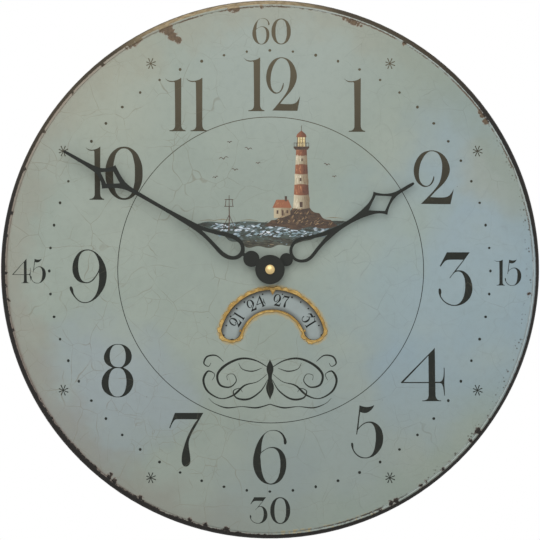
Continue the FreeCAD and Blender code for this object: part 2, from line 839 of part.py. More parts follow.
def minute_hand():
    tip_side = (minute_length - minute_tip_half, minute_tip_half)
    shank_side = along_hand(minute_loop_shares + minute_neck_shares + (minute_corner_shares,), minute_length)
    blade_side = along_hand((minute_corner_shares,) + minute_blade_shares, minute_length) + (tip_side,)
    loop_opening = along_hand(minute_loop_opening_shares, minute_length)
    lozenge_opening = along_hand(minute_lozenge_shares, minute_length)
    blade = hand_blade(shank_side, blade_side, (loop_opening, lozenge_opening), minute_hand_degrees,
                       minute_hand_front, minute_hand_back)
    lobe = disc(minute_lobe_radius, minute_hand_front, minute_hand_back,
                polar(hands_place, minute_lobe_share * minute_length, minute_hand_degrees))
    stem = hand_stem(loop_opening[0][0], shank_side[0][1], minute_hand_degrees, minute_hand_front,
                     minute_hand_back)
    boss = disc(hand_boss_radius, minute_boss_front, minute_hand_back)
    solid = blade.fuse([lobe, stem, boss]).removeSplitter()
    return solid.cut(disc(arbor_radius + seat_clearance, minute_boss_front - cut_overrun,
                          minute_hand_back + cut_overrun))


def hour_collet():
    back = hour_hand_back + collet_length / 2
    return tube(collet_radius, pipe_radius + seat_clearance, hour_hand_back, back)


def hand_nut():
    skirt = disc(hand_nut_radius, minute_boss_front, minute_boss_front - hand_nut_skirt)
    sphere_radius = (hand_nut_radius ** 2 + hand_nut_dome ** 2) / (2 * hand_nut_dome)
    skirt_front = minute_boss_front - hand_nut_skirt
    sphere_centre = FreeCAD.Vector(0, skirt_front - hand_nut_dome + sphere_radius, 0)
    ball = Part.makeSphere(sphere_radius, sphere_centre)
    dome = ball.common(disc(hand_nut_radius, hand_nut_front - cut_overrun, skirt_front))
    solid = skirt.fuse(dome).removeSplitter()
    return solid.cut(disc(arbor_radius + seat_clearance, minute_boss_front + cut_overrun, skirt_front))


# Movement case, cover and battery

half_side = battery_length / 2 + contact_room + movement_wall
battery_place = -half_side + movement_wall + battery_clearance + battery_radius
battery_depth = movement_floor + battery_clearance + battery_radius
divider_left = battery_place + battery_radius + battery_clearance
divider_right = divider_left + divider_wall
train_places = (minute_wheel_place, third_place, fourth_place, fifth_place, rotor_place, day_place,
                setting_place, hands_place)
stator_front = layer(4)[0] + stator_depth_share * wheel_thickness
stator_back = stator_front + stator_thickness
core_back = stator_back + stator_thickness
stator_hole = magnet_radius + stator_air_gap
stator_bottom = rotor_place[1] - stator_hole - stator_lower_wall
stator_top = rotor_place[1] + stator_hole + stator_upper_wall
stator_left = rotor_place[0] - stator_hole - stator_left_wall
stator_right = half_side - movement_wall - free_clearance
coil_top = stator_bottom - coil_top_drop
coil_bottom = coil_top - coil_length
foot_top = coil_bottom - coil_top_drop
foot_bottom = foot_top - stator_foot
stator_screw_places = ((coil_offset, (stator_bottom + stator_top) / 2),
                       (coil_offset, (foot_top + foot_bottom) / 2))
circuit_depth = movement_floor + circuit_depth_share * (cover_inner - movement_floor)
circuit_low = (divider_right + circuit_margin, -half_side + movement_wall + circuit_margin)
circuit_high = (circuit_low[0] + circuit_width, circuit_low[1] + circuit_height)
circuit_post_places = ((circuit_low[0] + circuit_post_inset, circuit_low[1] + circuit_post_inset),
                       (circuit_high[0] - circuit_post_inset, circuit_low[1] + circuit_post_inset))


def movement_case():
    low = (-half_side, -half_side)
    high = (half_side, half_side)
    solid = rounded_block(low, high, movement_front, cover_inner, movement_corner)
    inner_corner = movement_corner - movement_wall
    low_inside = (-half_side + movement_wall, -half_side + movement_wall)
    high_inside = (half_side - movement_wall, half_side - movement_wall)
    inside = rounded_block(low_inside, high_inside, movement_floor, cover_inner + cut_overrun, inner_corner)
    solid = solid.cut(inside)
    divider = block((divider_left, low_inside[1]), (divider_right, high_inside[1]), movement_floor, cover_inner)
    posts = [disc(post_radius, movement_floor, circuit_depth, place) for place in circuit_post_places]
    posts = posts + [disc(post_radius, movement_floor, stator_front, place) for place in stator_screw_places]
    solid = solid.fuse([divider] + posts).removeSplitter()
    cutters = [disc(bush_radius + seat_clearance, movement_front - cut_overrun, movement_floor + cut_overrun)]
    cutters.append(disc(day_arbor_radius + running_clearance, movement_front - cut_overrun,
                        movement_floor + cut_overrun, day_place))
    for place in train_places:
        if place not in (hands_place, day_place):
            cutters.append(disc(pivot_radius + running_clearance, movement_floor - pivot_depth - pivot_end_gap,
                                movement_floor + cut_overrun, place))
    for place in stator_screw_places:
        cutters.append(disc(stator_screw_radius + seat_clearance, movement_floor, stator_front + cut_overrun,
                            place))
    for cutter in cutters:
        solid = solid.cut(cutter)
    return solid


def movement_cover():
    low = (-half_side, -half_side)
    high = (half_side, half_side)
    solid = rounded_block(low, high, cover_inner, movement_back, movement_corner)
    bay = block((-half_side + movement_wall, -half_side + movement_wall),
                (divider_left, half_side - movement_wall), cover_inner - cut_overrun, movement_back + cut_overrun)
    solid = solid.cut(bay)
    for place in train_places:
        through = place == setting_place
        depth = movement_back + cut_overrun if through else cover_inner + pivot_depth + pivot_end_gap
        solid = solid.cut(disc(pivot_radius + running_clearance, cover_inner - cut_overrun, depth, place))
    return solid


def battery():
    length = battery_length - battery_nub_length
    low = FreeCAD.Vector(battery_place, battery_depth, -battery_length / 2)
    top = FreeCAD.Vector(battery_place, battery_depth, -battery_length / 2 + length)
    up = FreeCAD.Vector(0, 0, 1)
    can = Part.makeCylinder(battery_radius, length, low, up)
    nub = Part.makeCylinder(battery_nub_radius, battery_nub_length, top, up)
    return can.fuse(nub)


def battery_contact(side):
    wall = side * (half_side - movement_wall)
    face = wall - side * contact_thickness
    low = (battery_place - contact_half_width, min(wall, face))
    high = (battery_place + contact_half_width, max(wall, face))
    plate = block(low, high, battery_depth - contact_half_width, battery_depth + contact_half_width)
    cell = side * battery_length / 2
    reach = abs(face - cell) - seat_clearance
    base = FreeCAD.Vector(battery_place, battery_depth, face)
    spring = Part.makeCone(contact_spring_radius, contact_spring_radius / 2, reach, base,
                           FreeCAD.Vector(0, 0, -side))
    return plate.fuse(spring)


def circuit_board():
    solid = block(circuit_low, circuit_high, circuit_depth, circuit_depth + circuit_thickness)
    return solid


def crystal():
    base = FreeCAD.Vector((circuit_low[0] + circuit_high[0] - crystal_length) / 2,
                          circuit_depth + circuit_thickness + crystal_radius + seat_clearance,
                          (circuit_low[1] + circuit_high[1]) / 2)
    return Part.makeCylinder(crystal_radius, crystal_length, base, FreeCAD.Vector(1, 0, 0))


# Wheels and arbors

def cannon_arbor():
    shaft = disc(arbor_radius, minute_boss_front - hand_nut_skirt, clutch_back)
    pivot = disc(pivot_radius, clutch_back, cover_inner + pivot_depth)
    pinion = toothed_wheel(cannon_teeth, motion_module, cannon_phase, hands_place,
                           minute_layer[0], minute_layer[1])
    collar = disc(clutch_collar_radius, clutch_spring_back, clutch_back)
    return shaft.fuse([pivot, pinion, collar]).removeSplitter()


clutch_spring_front = centre_layer[1] + running_clearance
clutch_spring_back = clutch_spring_front + clutch_spring_thickness
clutch_back = clutch_spring_back + clutch_spring_thickness


def friction_spring():
    bore = arbor_radius + running_clearance
    star = tube(clutch_collar_radius, bore, clutch_spring_front, clutch_spring_back)
    reach = clutch_reach_share * centre_teeth * centre_module / 2
    legs = [hand_stem(reach, clutch_spring_leg_half, quarter_turn_degrees + 2 * hexagon_degrees * number,
                      clutch_spring_front, clutch_spring_back) for number in range(3)]
    star = star.fuse(legs).removeSplitter()
    return star.cut(disc(bore, clutch_spring_front - cut_overrun, clutch_spring_back + cut_overrun))


def centre_wheel():
    solid = toothed_wheel(centre_teeth, centre_module, centre_phase, hands_place,
                          centre_layer[0], centre_layer[1])
    return solid.cut(disc(arbor_radius + running_clearance, centre_layer[0] - cut_overrun,
                          centre_layer[1] + cut_overrun))


def wheel_and_pinion(place, phase, wheel_teeth, wheel_module, wheel_layer, pinion_teeth, pinion_module,
                     pinion_layer):
    wheel = toothed_wheel(wheel_teeth, wheel_module, phase, place, wheel_layer[0], wheel_layer[1])
    pinion_far = wheel_layer[0] if pinion_layer[0] < wheel_layer[0] else wheel_layer[1]
    near = min(pinion_layer[0], pinion_far)
    far = max(pinion_layer[1], pinion_far)
    pinion = toothed_wheel(pinion_teeth, pinion_module, phase, place, near, far)
    return wheel.fuse([pinion, pivoted_arbor(place)]).removeSplitter()


def minute_wheel():
    return wheel_and_pinion(minute_wheel_place, minute_wheel_phase, minute_wheel_teeth, motion_module,
                            minute_layer, minute_pinion_teeth, motion_module, hour_layer)


def hour_wheel():
    wheel = toothed_wheel(hour_wheel_teeth, motion_module, hour_wheel_phase, hands_place,
                          hour_layer[0], hour_layer[1])
    pinion = toothed_wheel(hour_pinion_teeth, day_module, hour_wheel_phase, hands_place,
                           day_layer[0], hour_layer[0])
    pipe = disc(pipe_radius, pipe_front, day_layer[0])
    bore = disc(arbor_radius + running_clearance, pipe_front - cut_overrun, hour_layer[1] + cut_overrun)
    return wheel.fuse([pinion, pipe]).removeSplitter().cut(bore)


def day_wheel():
    wheel = toothed_wheel(day_wheel_teeth, day_module, day_wheel_phase, day_place, day_layer[0], day_layer[1])
    shaft = disc(day_arbor_radius, date_disc_front, day_layer[0], day_place)
    pivot = disc(pivot_radius, day_layer[0], cover_inner + pivot_depth, day_place)
    return wheel.fuse([shaft, pivot]).removeSplitter()


def day_finger():
    solid = disc(finger_hub_radius, date_disc_front, date_disc_front + date_disc_thickness, day_place)
    tip = polar(day_place, finger_length, finger_degrees)
    left = polar(day_place, finger_half_width, finger_degrees + quarter_turn_degrees)
    right = polar(day_place, finger_half_width, finger_degrees - quarter_turn_degrees)
    arm = slab([left, right, tip], date_disc_front, date_disc_front + date_disc_thickness)
    solid = solid.fuse(arm)
    return solid.cut(disc(day_arbor_radius + seat_clearance, date_disc_front - cut_overrun,
                          date_disc_front + date_disc_thickness + cut_overrun, day_place))


def setting_knob():
    knob_front = movement_back + setting_knob_gap
    knob = gripped_knob(setting_knob_radius, setting_knob_grip_count, setting_knob_grip_depth,
                        knob_front, knob_front + setting_knob_length, setting_place)
    shaft = disc(pivot_radius, movement_floor - pivot_depth, knob_front, setting_place)
    pinion = toothed_wheel(setting_teeth, motion_module, setting_phase, setting_place,
                           minute_layer[0], minute_layer[1])
    return knob.fuse([shaft, pinion]).removeSplitter()


def third_wheel():
    return wheel_and_pinion(third_place, third_phase, third_teeth, third_module, third_layer,
                            train_pinion_teeth, centre_module, centre_layer)


def fourth_wheel():
    return wheel_and_pinion(fourth_place, fourth_phase, fourth_teeth, fourth_module, fourth_layer,
                            train_pinion_teeth, third_module, third_layer)


def fifth_wheel():
    return wheel_and_pinion(fifth_place, fifth_phase, fifth_teeth, fifth_module, fifth_layer,
                            train_pinion_teeth, fourth_module, fourth_layer)


# Stepping motor

magnet_front = stator_front + (stator_thickness - magnet_length) / 2
magnet_back = magnet_front + magnet_length


def rotor():
    pinion = toothed_wheel(train_pinion_teeth, fifth_module, rotor_phase, rotor_place,
                           fifth_layer[0], fifth_layer[1])
    return pinion.fuse(pivoted_arbor(rotor_place)).removeSplitter()


def rotor_magnet():
    return tube(magnet_radius, pivot_radius + seat_clearance, magnet_front, magnet_back, rotor_place)


def stator():
    head = block((stator_left, stator_bottom), (stator_right, stator_top), stator_front, stator_back)
    arm = block((stator_right - stator_arm_width, foot_bottom), (stator_right, stator_bottom),
                stator_front, stator_back)
    foot = block((coil_offset - coil_flange_radius, foot_bottom), (stator_right, foot_top),
                 stator_front, stator_back)
    solid = head.fuse([arm, foot]).removeSplitter()
    solid = solid.cut(disc(stator_hole, stator_front - cut_overrun, stator_back + cut_overrun, rotor_place))
    for place in stator_screw_places:
        solid = solid.cut(disc(stator_screw_radius + seat_clearance, stator_front - cut_overrun,
                               stator_back + cut_overrun, place))
    return solid


def coil_core():
    low = (coil_offset - coil_core_half, foot_bottom)
    high = (coil_offset + coil_core_half, stator_top)
    solid = block(low, high, stator_back, core_back)
    for place in stator_screw_places:
        solid = solid.cut(disc(stator_screw_radius + seat_clearance, stator_back - cut_overrun,
                               core_back + cut_overrun, place))
    return solid


def stator_screws():
    screws = []
    for place in stator_screw_places:
        head = disc(stator_screw_head_radius, core_back, core_back + stator_screw_head_height, place)
        shank = disc(stator_screw_radius, movement_floor, core_back, place)
        screws.append(head.fuse(shank).removeSplitter())
    return Part.makeCompound(screws)


def upright_tube(outer, low, high):
    base = FreeCAD.Vector(coil_offset, (stator_back + core_back) / 2, low)
    return Part.makeCylinder(outer, high - low, base, FreeCAD.Vector(0, 0, 1))


def coil_bobbin():
    core_radius = math.hypot(coil_core_half, stator_thickness / 2) + coil_tube_wall
    sleeve = upright_tube(core_radius, coil_bottom, coil_top)
    lower = upright_tube(coil_flange_radius, coil_bottom, coil_bottom + coil_flange)
    upper = upright_tube(coil_flange_radius, coil_top - coil_flange, coil_top)
    hole = block((coil_offset - coil_core_half - seat_clearance, coil_bottom - cut_overrun),
                 (coil_offset + coil_core_half + seat_clearance, coil_top + cut_overrun),
                 stator_back - seat_clearance, core_back + seat_clearance)
    return sleeve.fuse([lower, upper]).removeSplitter().cut(hole)


def coil_winding():
    core_radius = math.hypot(coil_core_half, stator_thickness / 2) + coil_tube_wall
    low = coil_bottom + coil_flange
    high = coil_top - coil_flange
    return upright_tube(coil_winding_radius, low, high).cut(upright_tube(core_radius, low - cut_overrun,
                                                                         high + cut_overrun))


os.makedirs("parts", exist_ok=True)
save("board", board())
save("dial_plate", dial_plate())
save("calendar_surround", surround())
save("back_ring", back_ring())
save("ring_screws", ring_screws())
save("hanger_plate", hanger_plate())
save("hanger_screws", hanger_screws())
save("date_disc", date_disc())
save("date_bush", date_bush())
save("date_arbor", date_arbor())
save("date_knob", date_knob())
save("date_jumper", date_jumper())
save("jumper_screw", jumper_screw())
save("threaded_bush", threaded_bush())
save("rubber_washer", rubber_washer())
save("dial_washer", washer())
save("clamp_nut", clamp_nut())
save("hour_hand", hour_hand())
save("hour_collet", hour_collet())
save("minute_hand", minute_hand())
save("hand_nut", hand_nut())
save("movement_case", movement_case())
save("movement_cover", movement_cover())
save("battery", battery())
save("contact_plus", battery_contact(1))
save("contact_minus", battery_contact(-1))
save("circuit_board", circuit_board())
save("crystal", crystal())
save("cannon_arbor", cannon_arbor())
save("friction_spring", friction_spring())
save("centre_wheel", centre_wheel())
save("minute_wheel", minute_wheel())
save("hour_wheel", hour_wheel())
save("day_wheel", day_wheel())
save("day_finger", day_finger())
save("setting_knob", setting_knob())
save("third_wheel", third_wheel())
save("fourth_wheel", fourth_wheel())
save("fifth_wheel", fifth_wheel())
save("rotor", rotor())
save("rotor_magnet", rotor_magnet())
save("stator", stator())
save("coil_core", coil_core())
save("stator_screws", stator_screws())
save("coil_bobbin", coil_bobbin())
save("coil_winding", coil_winding())
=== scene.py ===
import math
import random

import bmesh
import bpy
from mathutils import Matrix, Vector


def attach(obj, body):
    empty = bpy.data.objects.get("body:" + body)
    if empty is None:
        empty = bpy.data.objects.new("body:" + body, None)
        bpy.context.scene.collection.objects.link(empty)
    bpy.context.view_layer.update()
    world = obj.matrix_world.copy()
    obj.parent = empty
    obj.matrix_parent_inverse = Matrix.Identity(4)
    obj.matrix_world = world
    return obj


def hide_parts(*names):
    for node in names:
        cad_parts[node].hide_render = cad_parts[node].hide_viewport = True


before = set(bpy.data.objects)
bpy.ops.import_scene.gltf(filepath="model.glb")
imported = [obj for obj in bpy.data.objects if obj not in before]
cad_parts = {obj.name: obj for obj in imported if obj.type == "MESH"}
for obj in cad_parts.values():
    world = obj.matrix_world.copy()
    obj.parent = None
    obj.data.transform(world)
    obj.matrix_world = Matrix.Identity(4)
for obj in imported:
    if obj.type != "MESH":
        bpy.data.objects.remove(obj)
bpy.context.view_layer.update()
bpy.context.scene.view_settings.view_transform = "Standard"

# Lengths below are millimetres. On the dial x runs right and z up from the hands' axis, and y is depth,
# negative towards the viewer and zero at the wall.
mm = 0.001
axis_drop = 145.0
dial_front = -29.6
dial_radius = 175.95
board_radius = 180.0
board_back = -20.0
date_centre = (1.7, -48.904)
date_card_front = -28.1
aperture_middle = 28.7
aperture_half = 6.4
aperture_end = 73.0
ink_height = 0.03
ink_front = dial_front - ink_height
ink_back = dial_front + ink_height
quarter_turn = math.pi / 2


# Sockets and trees

def shade(red, green, blue):
    """A colour as the eye reads it on a screen, 0 to 255, turned into light."""
    def light(part):
        part = part / 255
        return part / 12.92 if part <= 0.04045 else ((part + 0.055) / 1.055) ** 2.4
    return (light(red), light(green), light(blue), 1.0)


def sum_of(operation, swapped=False):
    """A method that adds the node of one sum; swapped puts the other value first."""
    def method(self, other=0.0):
        first, second = (other, self) if swapped else (self, other)
        return self.tree.node("ShaderNodeMath", {0: first, 1: second}, operation=operation)
    return method


class Socket:
    """A value in a node tree; sums written with it add the nodes that work them out."""

    def __init__(self, tree, end):
        self.tree = tree
        self.end = end

    __add__, __radd__ = sum_of("ADD"), sum_of("ADD", True)
    __sub__, __rsub__ = sum_of("SUBTRACT"), sum_of("SUBTRACT", True)
    __mul__, __rmul__ = sum_of("MULTIPLY"), sum_of("MULTIPLY", True)
    __truediv__, __rtruediv__ = sum_of("DIVIDE"), sum_of("DIVIDE", True)
    __pow__ = sum_of("POWER")
    over = sum_of("MAXIMUM")
    under = sum_of("MINIMUM")
    rest = sum_of("FLOORED_MODULO")
    size = sum_of("ABSOLUTE")
    wave = sum_of("SINE")


class Tree:
    """A node tree with one way to add a node: its type, what its sockets get, then its settings."""

    def __init__(self, nodes, links):
        self.nodes = nodes
        self.links = links

    def node(self, kind, values=None, out=0, **settings):
        made = self.nodes.new(kind)
        for name, value in settings.items():
            setattr(made, name, value)
        for name, value in (values or {}).items():
            self.feed(made.inputs[name], value)
        return Socket(self, made.outputs[out])

    def feed(self, socket, value):
        if isinstance(value, Socket):
            self.links.new(value.end, socket)
        elif value is not None:
            socket.default_value = value


class Finish(Tree):
    """A material. Its patterns are laid out in millimetres from the hands' axis."""

    def __init__(self, name):
        self.material = bpy.data.materials.new(name)
        self.material.use_nodes = True
        tree = self.material.node_tree
        tree.nodes.clear()
        super().__init__(tree.nodes, tree.links)
        coordinates = self.node("ShaderNodeTexCoord", out="Object")
        self.place = self.node("ShaderNodeVectorMath", {0: coordinates, 1: (1 / mm, 1 / mm, 1 / mm),
                                                        2: (0, 0, axis_drop)}, operation="MULTIPLY_ADD")
        axes = self.nodes.new("ShaderNodeSeparateXYZ")
        self.links.new(self.place.end, axes.inputs[0])
        self.x, self.y, self.z = (Socket(self, end) for end in axes.outputs)

    def moved(self, shift=(0, 0, 0), stretch=(1, 1, 1), turn=(0, 0, 0)):
        return self.node("ShaderNodeMapping", {"Vector": self.place, "Location": shift, "Rotation": turn,
                                               "Scale": stretch}, vector_type="TEXTURE")

    def noise(self, size, detail=2.0, rough=0.5, place=None, warp=0.0):
        """Soft noise whose blotches are about size millimetres across, from 0 to 1."""
        return self.node("ShaderNodeTexNoise", {"Vector": place or self.place, "Scale": 1 / size,
                                                "Detail": detail, "Roughness": rough, "Distortion": warp})

    def uneven(self, reach, size, detail=2.0, rough=0.5, place=None):
        """Noise about zero, reach from its lowest to its highest."""
        return (self.noise(size, detail, rough, place) - 0.5) * reach

    def warped(self, size, reach):
        """The place, pushed about by up to reach millimetres in swirls of the given size."""
        swirl = self.node("ShaderNodeTexNoise", {"Vector": self.place, "Scale": 1 / size, "Detail": 1.0},
                          "Color")
        push = self.node("ShaderNodeVectorMath", {0: swirl, 1: (0.5, 0.5, 0.5)}, operation="SUBTRACT")
        return self.node("ShaderNodeVectorMath", {0: push, 1: (reach, reach, reach), 2: self.place},
                         operation="MULTIPLY_ADD")

    def cells(self, size, feature="F1", place=None):
        """Distance in millimetres in a pattern of cells of the given size."""
        return self.node("ShaderNodeTexVoronoi", {"Vector": place or self.place, "Scale": 1 / size},
                         "Distance", feature=feature) * size

    def step(self, value, low, high):
        """Rises smoothly from 0 to 1 as the value goes from low to high."""
        return self.node("ShaderNodeMapRange", {0: value, 1: low, 2: high, 3: 0.0, 4: 1.0},
                         interpolation_type="SMOOTHSTEP")

    def fade(self, value, low, high):
        """Falls smoothly from 1 to 0 as the value goes from low to high."""
        return 1.0 - self.step(value, low, high)

    def blend(self, share, first, second):
        """Mixes two colours; each is a socket, or red, green and blue as shade takes them."""
        first, second = (tone if isinstance(tone, Socket) else shade(*tone) for tone in (first, second))
        return self.node("ShaderNodeMix", {0: share, 6: first, 7: second}, 2, data_type="RGBA",
                         clamp_factor=True)

    def coats(self, colour, *more):
        """Lays colours over a first one, each with its share."""
        for share, tone in more:
            colour = self.blend(share, colour, tone)
        return colour

    def from_point(self, x, z):
        across = self.x - x
        along = self.z - z
        return (across * across + along * along) ** 0.5

    def from_axis(self):
        return (self.x * self.x + self.z * self.z) ** 0.5

    def rimwise(self, stretch=1.0):
        """Millimetres round the dial's edge, depth, and reach from the hands' axis times the stretch."""
        turn = self.node("ShaderNodeMath", {0: self.x, 1: self.z}, operation="ARCTAN2")
        reach = self.from_axis() * stretch
        return self.node("ShaderNodeCombineXYZ", {0: turn * board_radius, 1: self.y, 2: reach})

    def close(self, colour, roughness=0.5, metallic=0.0, height=None, height_mm=0.1, **fixed):
        """Ends the material. height runs from 0 to 1 and stands height_mm proud."""
        values = {"Base Color": colour, "Roughness": roughness, "Metallic": metallic}
        values.update({name.replace("_", " "): value for name, value in fixed.items()})
        if height is not None:
            values["Normal"] = self.node("ShaderNodeBump", {"Strength": 1.0, "Distance": height_mm * mm,
                                                            "Height": height})
        surface = self.node("ShaderNodeBsdfPrincipled", values)
        end = self.nodes.new("ShaderNodeOutputMaterial")
        self.links.new(surface.end, end.inputs["Surface"])
        return self.material


class Pattern(Tree):
    """A geometry tree with a geometry input and named sizes."""

    def __init__(self, name, **sizes):
        self.group = bpy.data.node_groups.new(name, "GeometryNodeTree")
        super().__init__(self.group.nodes, self.group.links)
        face = self.group.interface
        face.new_socket("Geometry", in_out="INPUT", socket_type="NodeSocketGeometry")
        self.names = {}
        for size, value in sizes.items():
            kind = "NodeSocketInt" if isinstance(value, int) else "NodeSocketFloat"
            made = face.new_socket(size.replace("_", " "), in_out="INPUT", socket_type=kind)
            made.default_value = value
            self.names[size] = made.identifier
        face.new_socket("Geometry", in_out="OUTPUT", socket_type="NodeSocketGeometry")
        self.inlet = self.nodes.new("NodeGroupInput")
        self.outlet = self.nodes.new("NodeGroupOutput")

    def given(self, size="Geometry"):
        return Socket(self, self.inlet.outputs[size.replace("_", " ")])

    def vector(self, x=0.0, y=0.0, z=0.0):
        return self.node("ShaderNodeCombineXYZ", {0: x, 1: y, 2: z})

    def moved(self, shape, shift=None, turn=None, stretch=None):
        return self.node("GeometryNodeTransform", {"Geometry": shape, "Translation": shift, "Rotation": turn,
                                                   "Scale": stretch})

    def on_dial(self, shape, centre=(0.0, 0.0), depth=dial_front):
        """Brings a shape drawn in millimetres about a dial point into the frame."""
        shift = (centre[0] * mm, depth * mm, (centre[1] - axis_drop) * mm)
        return self.moved(shape, shift, stretch=(mm, mm, mm))

    def chance(self, low, high, seed):
        return self.node("FunctionNodeRandomValue", {2: low, 3: high, "Seed": seed}, 1, data_type="FLOAT")

    def on_points(self, points, shape, **more):
        return self.node("GeometryNodeInstanceOnPoints", {"Points": points, "Instance": shape, **more})

    def end(self, instances, material):
        real = self.node("GeometryNodeRealizeInstances", {"Geometry": instances})
        dressed = self.node("GeometryNodeSetMaterial", {"Geometry": real, "Material": material})
        self.links.new(dressed.end, self.outlet.inputs["Geometry"])


# Meshes

def new_object(name, data):
    made = bpy.data.objects.new(name, data)
    bpy.context.scene.collection.objects.link(made)
    return made


def grown_mesh(thing):
    """The plain mesh that a thing's modifiers make."""
    return bpy.data.meshes.new_from_object(thing.evaluated_get(bpy.context.evaluated_depsgraph_get()))


def grow(pattern, name, base=None, **sizes):
    """Runs a pattern on a base mesh, or on nothing, and keeps the plain mesh that it makes."""
    piece = new_object(name, base or bpy.data.meshes.new(name))
    modifier = piece.modifiers.new(name, "NODES")
    modifier.node_group = pattern.group
    for size, value in sizes.items():
        modifier[pattern.names[size]] = value
    mesh = grown_mesh(piece)
    piece.modifiers.remove(modifier)
    piece.data = mesh
    mesh.name = name
    return piece


def place_piece(shape, name, material=None, body="case", replaces=(), smooth=False):
    """Turns what is in metres in the shared frame into a piece that rides on a body. The shape is an object,
    a mesh, or a list of meshes to be joined."""
    if isinstance(shape, list):
        shape = joined(shape, name)
    if isinstance(shape, bpy.types.Mesh):
        shape.name = name
        shape = new_object(name, shape)
    if material is not None:
        shape.data.materials.clear()
        shape.data.materials.append(material)
    for face in shape.data.polygons:
        face.use_smooth = smooth
    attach(shape, body)
    if replaces:
        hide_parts(*replaces)
    return shape


def close_mesh(mesh):
    """Joins corners that meet and turns every face outwards."""
    work = bmesh.new()
    work.from_mesh(mesh)
    bmesh.ops.remove_doubles(work, verts=work.verts, dist=1e-7)
    bmesh.ops.recalc_face_normals(work, faces=work.faces)
    work.to_mesh(mesh)
    work.free()
    return mesh


def mesh_of(corners, faces, name="shape"):
    """A mesh from corners in dial millimetres."""
    mesh = bpy.data.meshes.new(name)
    mesh.from_pydata([(x * mm, y * mm, (z - axis_drop) * mm) for x, y, z in corners], [], faces)
    mesh.update()
    return mesh


def joined(meshes, name):
    """One mesh out of several."""
    work = bmesh.new()
    for mesh in meshes:
        work.from_mesh(mesh)
    whole = bpy.data.meshes.new(name)
    work.to_mesh(whole)
    work.free()
    for mesh in meshes:
        bpy.data.meshes.remove(mesh)
    return whole


def inlay(loops, front, back, steps=6, weight=0.0):
    """A slab between two depths with a drawn outline. Each loop lists x, z and, at a corner, a third value.
    A weight widens the outline by that much."""
    curve = bpy.data.curves.new("outline", "CURVE")
    curve.dimensions = "2D"
    curve.fill_mode = "BOTH"
    curve.resolution_u = steps
    curve.extrude = (back - front) / 2
    curve.offset = weight
    for loop in loops:
        spline = curve.splines.new("BEZIER")
        spline.bezier_points.add(len(loop) - 1)
        spline.use_cyclic_u = True
        for knot, spot in zip(spline.bezier_points, loop):
            knot.co = (spot[0], spot[1], 0)
        for knot, spot in zip(spline.bezier_points, loop):
            knot.handle_left_type = knot.handle_right_type = "VECTOR" if len(spot) > 2 else "AUTO"
    holder = bpy.data.objects.new("outline", curve)
    mesh = bpy.data.meshes.new_from_object(holder)
    bpy.data.objects.remove(holder)
    bpy.data.curves.remove(curve)
    mesh.transform(Matrix.Translation((0, (front + back) / 2 * mm, -axis_drop * mm))
                   @ Matrix.Rotation(math.pi / 2, 4, "X") @ Matrix.Scale(mm, 4))
    return close_mesh(mesh)


def smooth_line(points, steps=6):
    """A smooth open line through some points."""
    line = []
    count = len(points)
    for index in range(count - 1):
        before = points[max(index - 1, 0)]
        first, second = points[index], points[index + 1]
        after = points[min(index + 2, count - 1)]
        for step in range(steps):
            t = step / steps
            line.append(tuple(0.5 * (2 * b + (c - a) * t + (2 * a - 5 * b + 4 * c - d) * t * t
                                     + (3 * b - a - 3 * c + d) * t ** 3)
                              for a, b, c, d in zip(before, first, second, after)))
    return line + [tuple(points[-1])]


def loft(rows, closed=False):
    """A mesh through rows of corners, each row a ring round the form; ends that stay open get a lid."""
    count = len(rows[0])
    corners = [corner for row in rows for corner in row]
    faces = []
    for number in range(len(rows) if closed else len(rows) - 1):
        here, there = number * count, (number + 1) % len(rows) * count
        for side in range(count):
            over = (side + 1) % count
            faces.append((here + side, here + over, there + over, there + side))
    if not closed:
        faces += [tuple(range(count)), tuple(range(len(corners) - count, len(corners)))]
    return mesh_of(corners, faces)


def pen_stroke(points, widths, front, back):
    """A painted stroke along a line: its width grows and thins as the widths say."""
    rows = []
    last = len(points) - 1
    for index, (x, z) in enumerate(points):
        ax, az = points[max(index - 1, 0)]
        bx, bz = points[min(index + 1, last)]
        run = math.hypot(bx - ax, bz - az) or 1.0
        share = index / last * (len(widths) - 1)
        low = min(int(share), len(widths) - 2)
        half = (widths[low] + (widths[low + 1] - widths[low]) * (share - low)) / 2
        across, up = (bz - az) / run * half, (bx - ax) / run * half
        rows.append([(x - across, front, z + up), (x + across, front, z - up), (x + across, back, z - up),
                     (x - across, back, z + up)])
    return close_mesh(loft(rows))


def spun(profile, centre, count=48):
    """A turned shape about an axis along y through a dial point. The profile lists radius and depth, from one
    end on the axis to the other, or round a ring."""
    angles = [2 * math.pi * step / count for step in range(count)]
    rows = [[(centre[0] + radius * math.cos(angle), depth, centre[1] + radius * math.sin(angle))
             for angle in angles] for radius, depth in profile]
    return close_mesh(loft(rows, closed=profile[0][0] > 0))


def polar(centre, radius, degrees):
    angle = math.radians(degrees)
    return (centre[0] + radius * math.cos(angle), centre[1] + radius * math.sin(angle))


# Finishes

paint_overlap = 1.35


def paint_end(paint, reach):
    """How far out the dial paint goes: past the plate's edge over the rim's flat, least low on the left."""
    upward = paint.step(paint.z / reach, -0.2, 0.6) * 0.6 - 0.35
    low_right = (paint.x * 0.9 - paint.z * 0.45) / reach
    high_right = (paint.x * 0.766 + paint.z * 0.643) / reach
    return (dial_radius + paint_overlap + paint.step(paint.x / reach, -0.3, -0.8) * upward
            + paint.step(low_right, 0.6, 0.95) * 0.5 - paint.step(high_right, 0.75, 0.92) * 0.4)


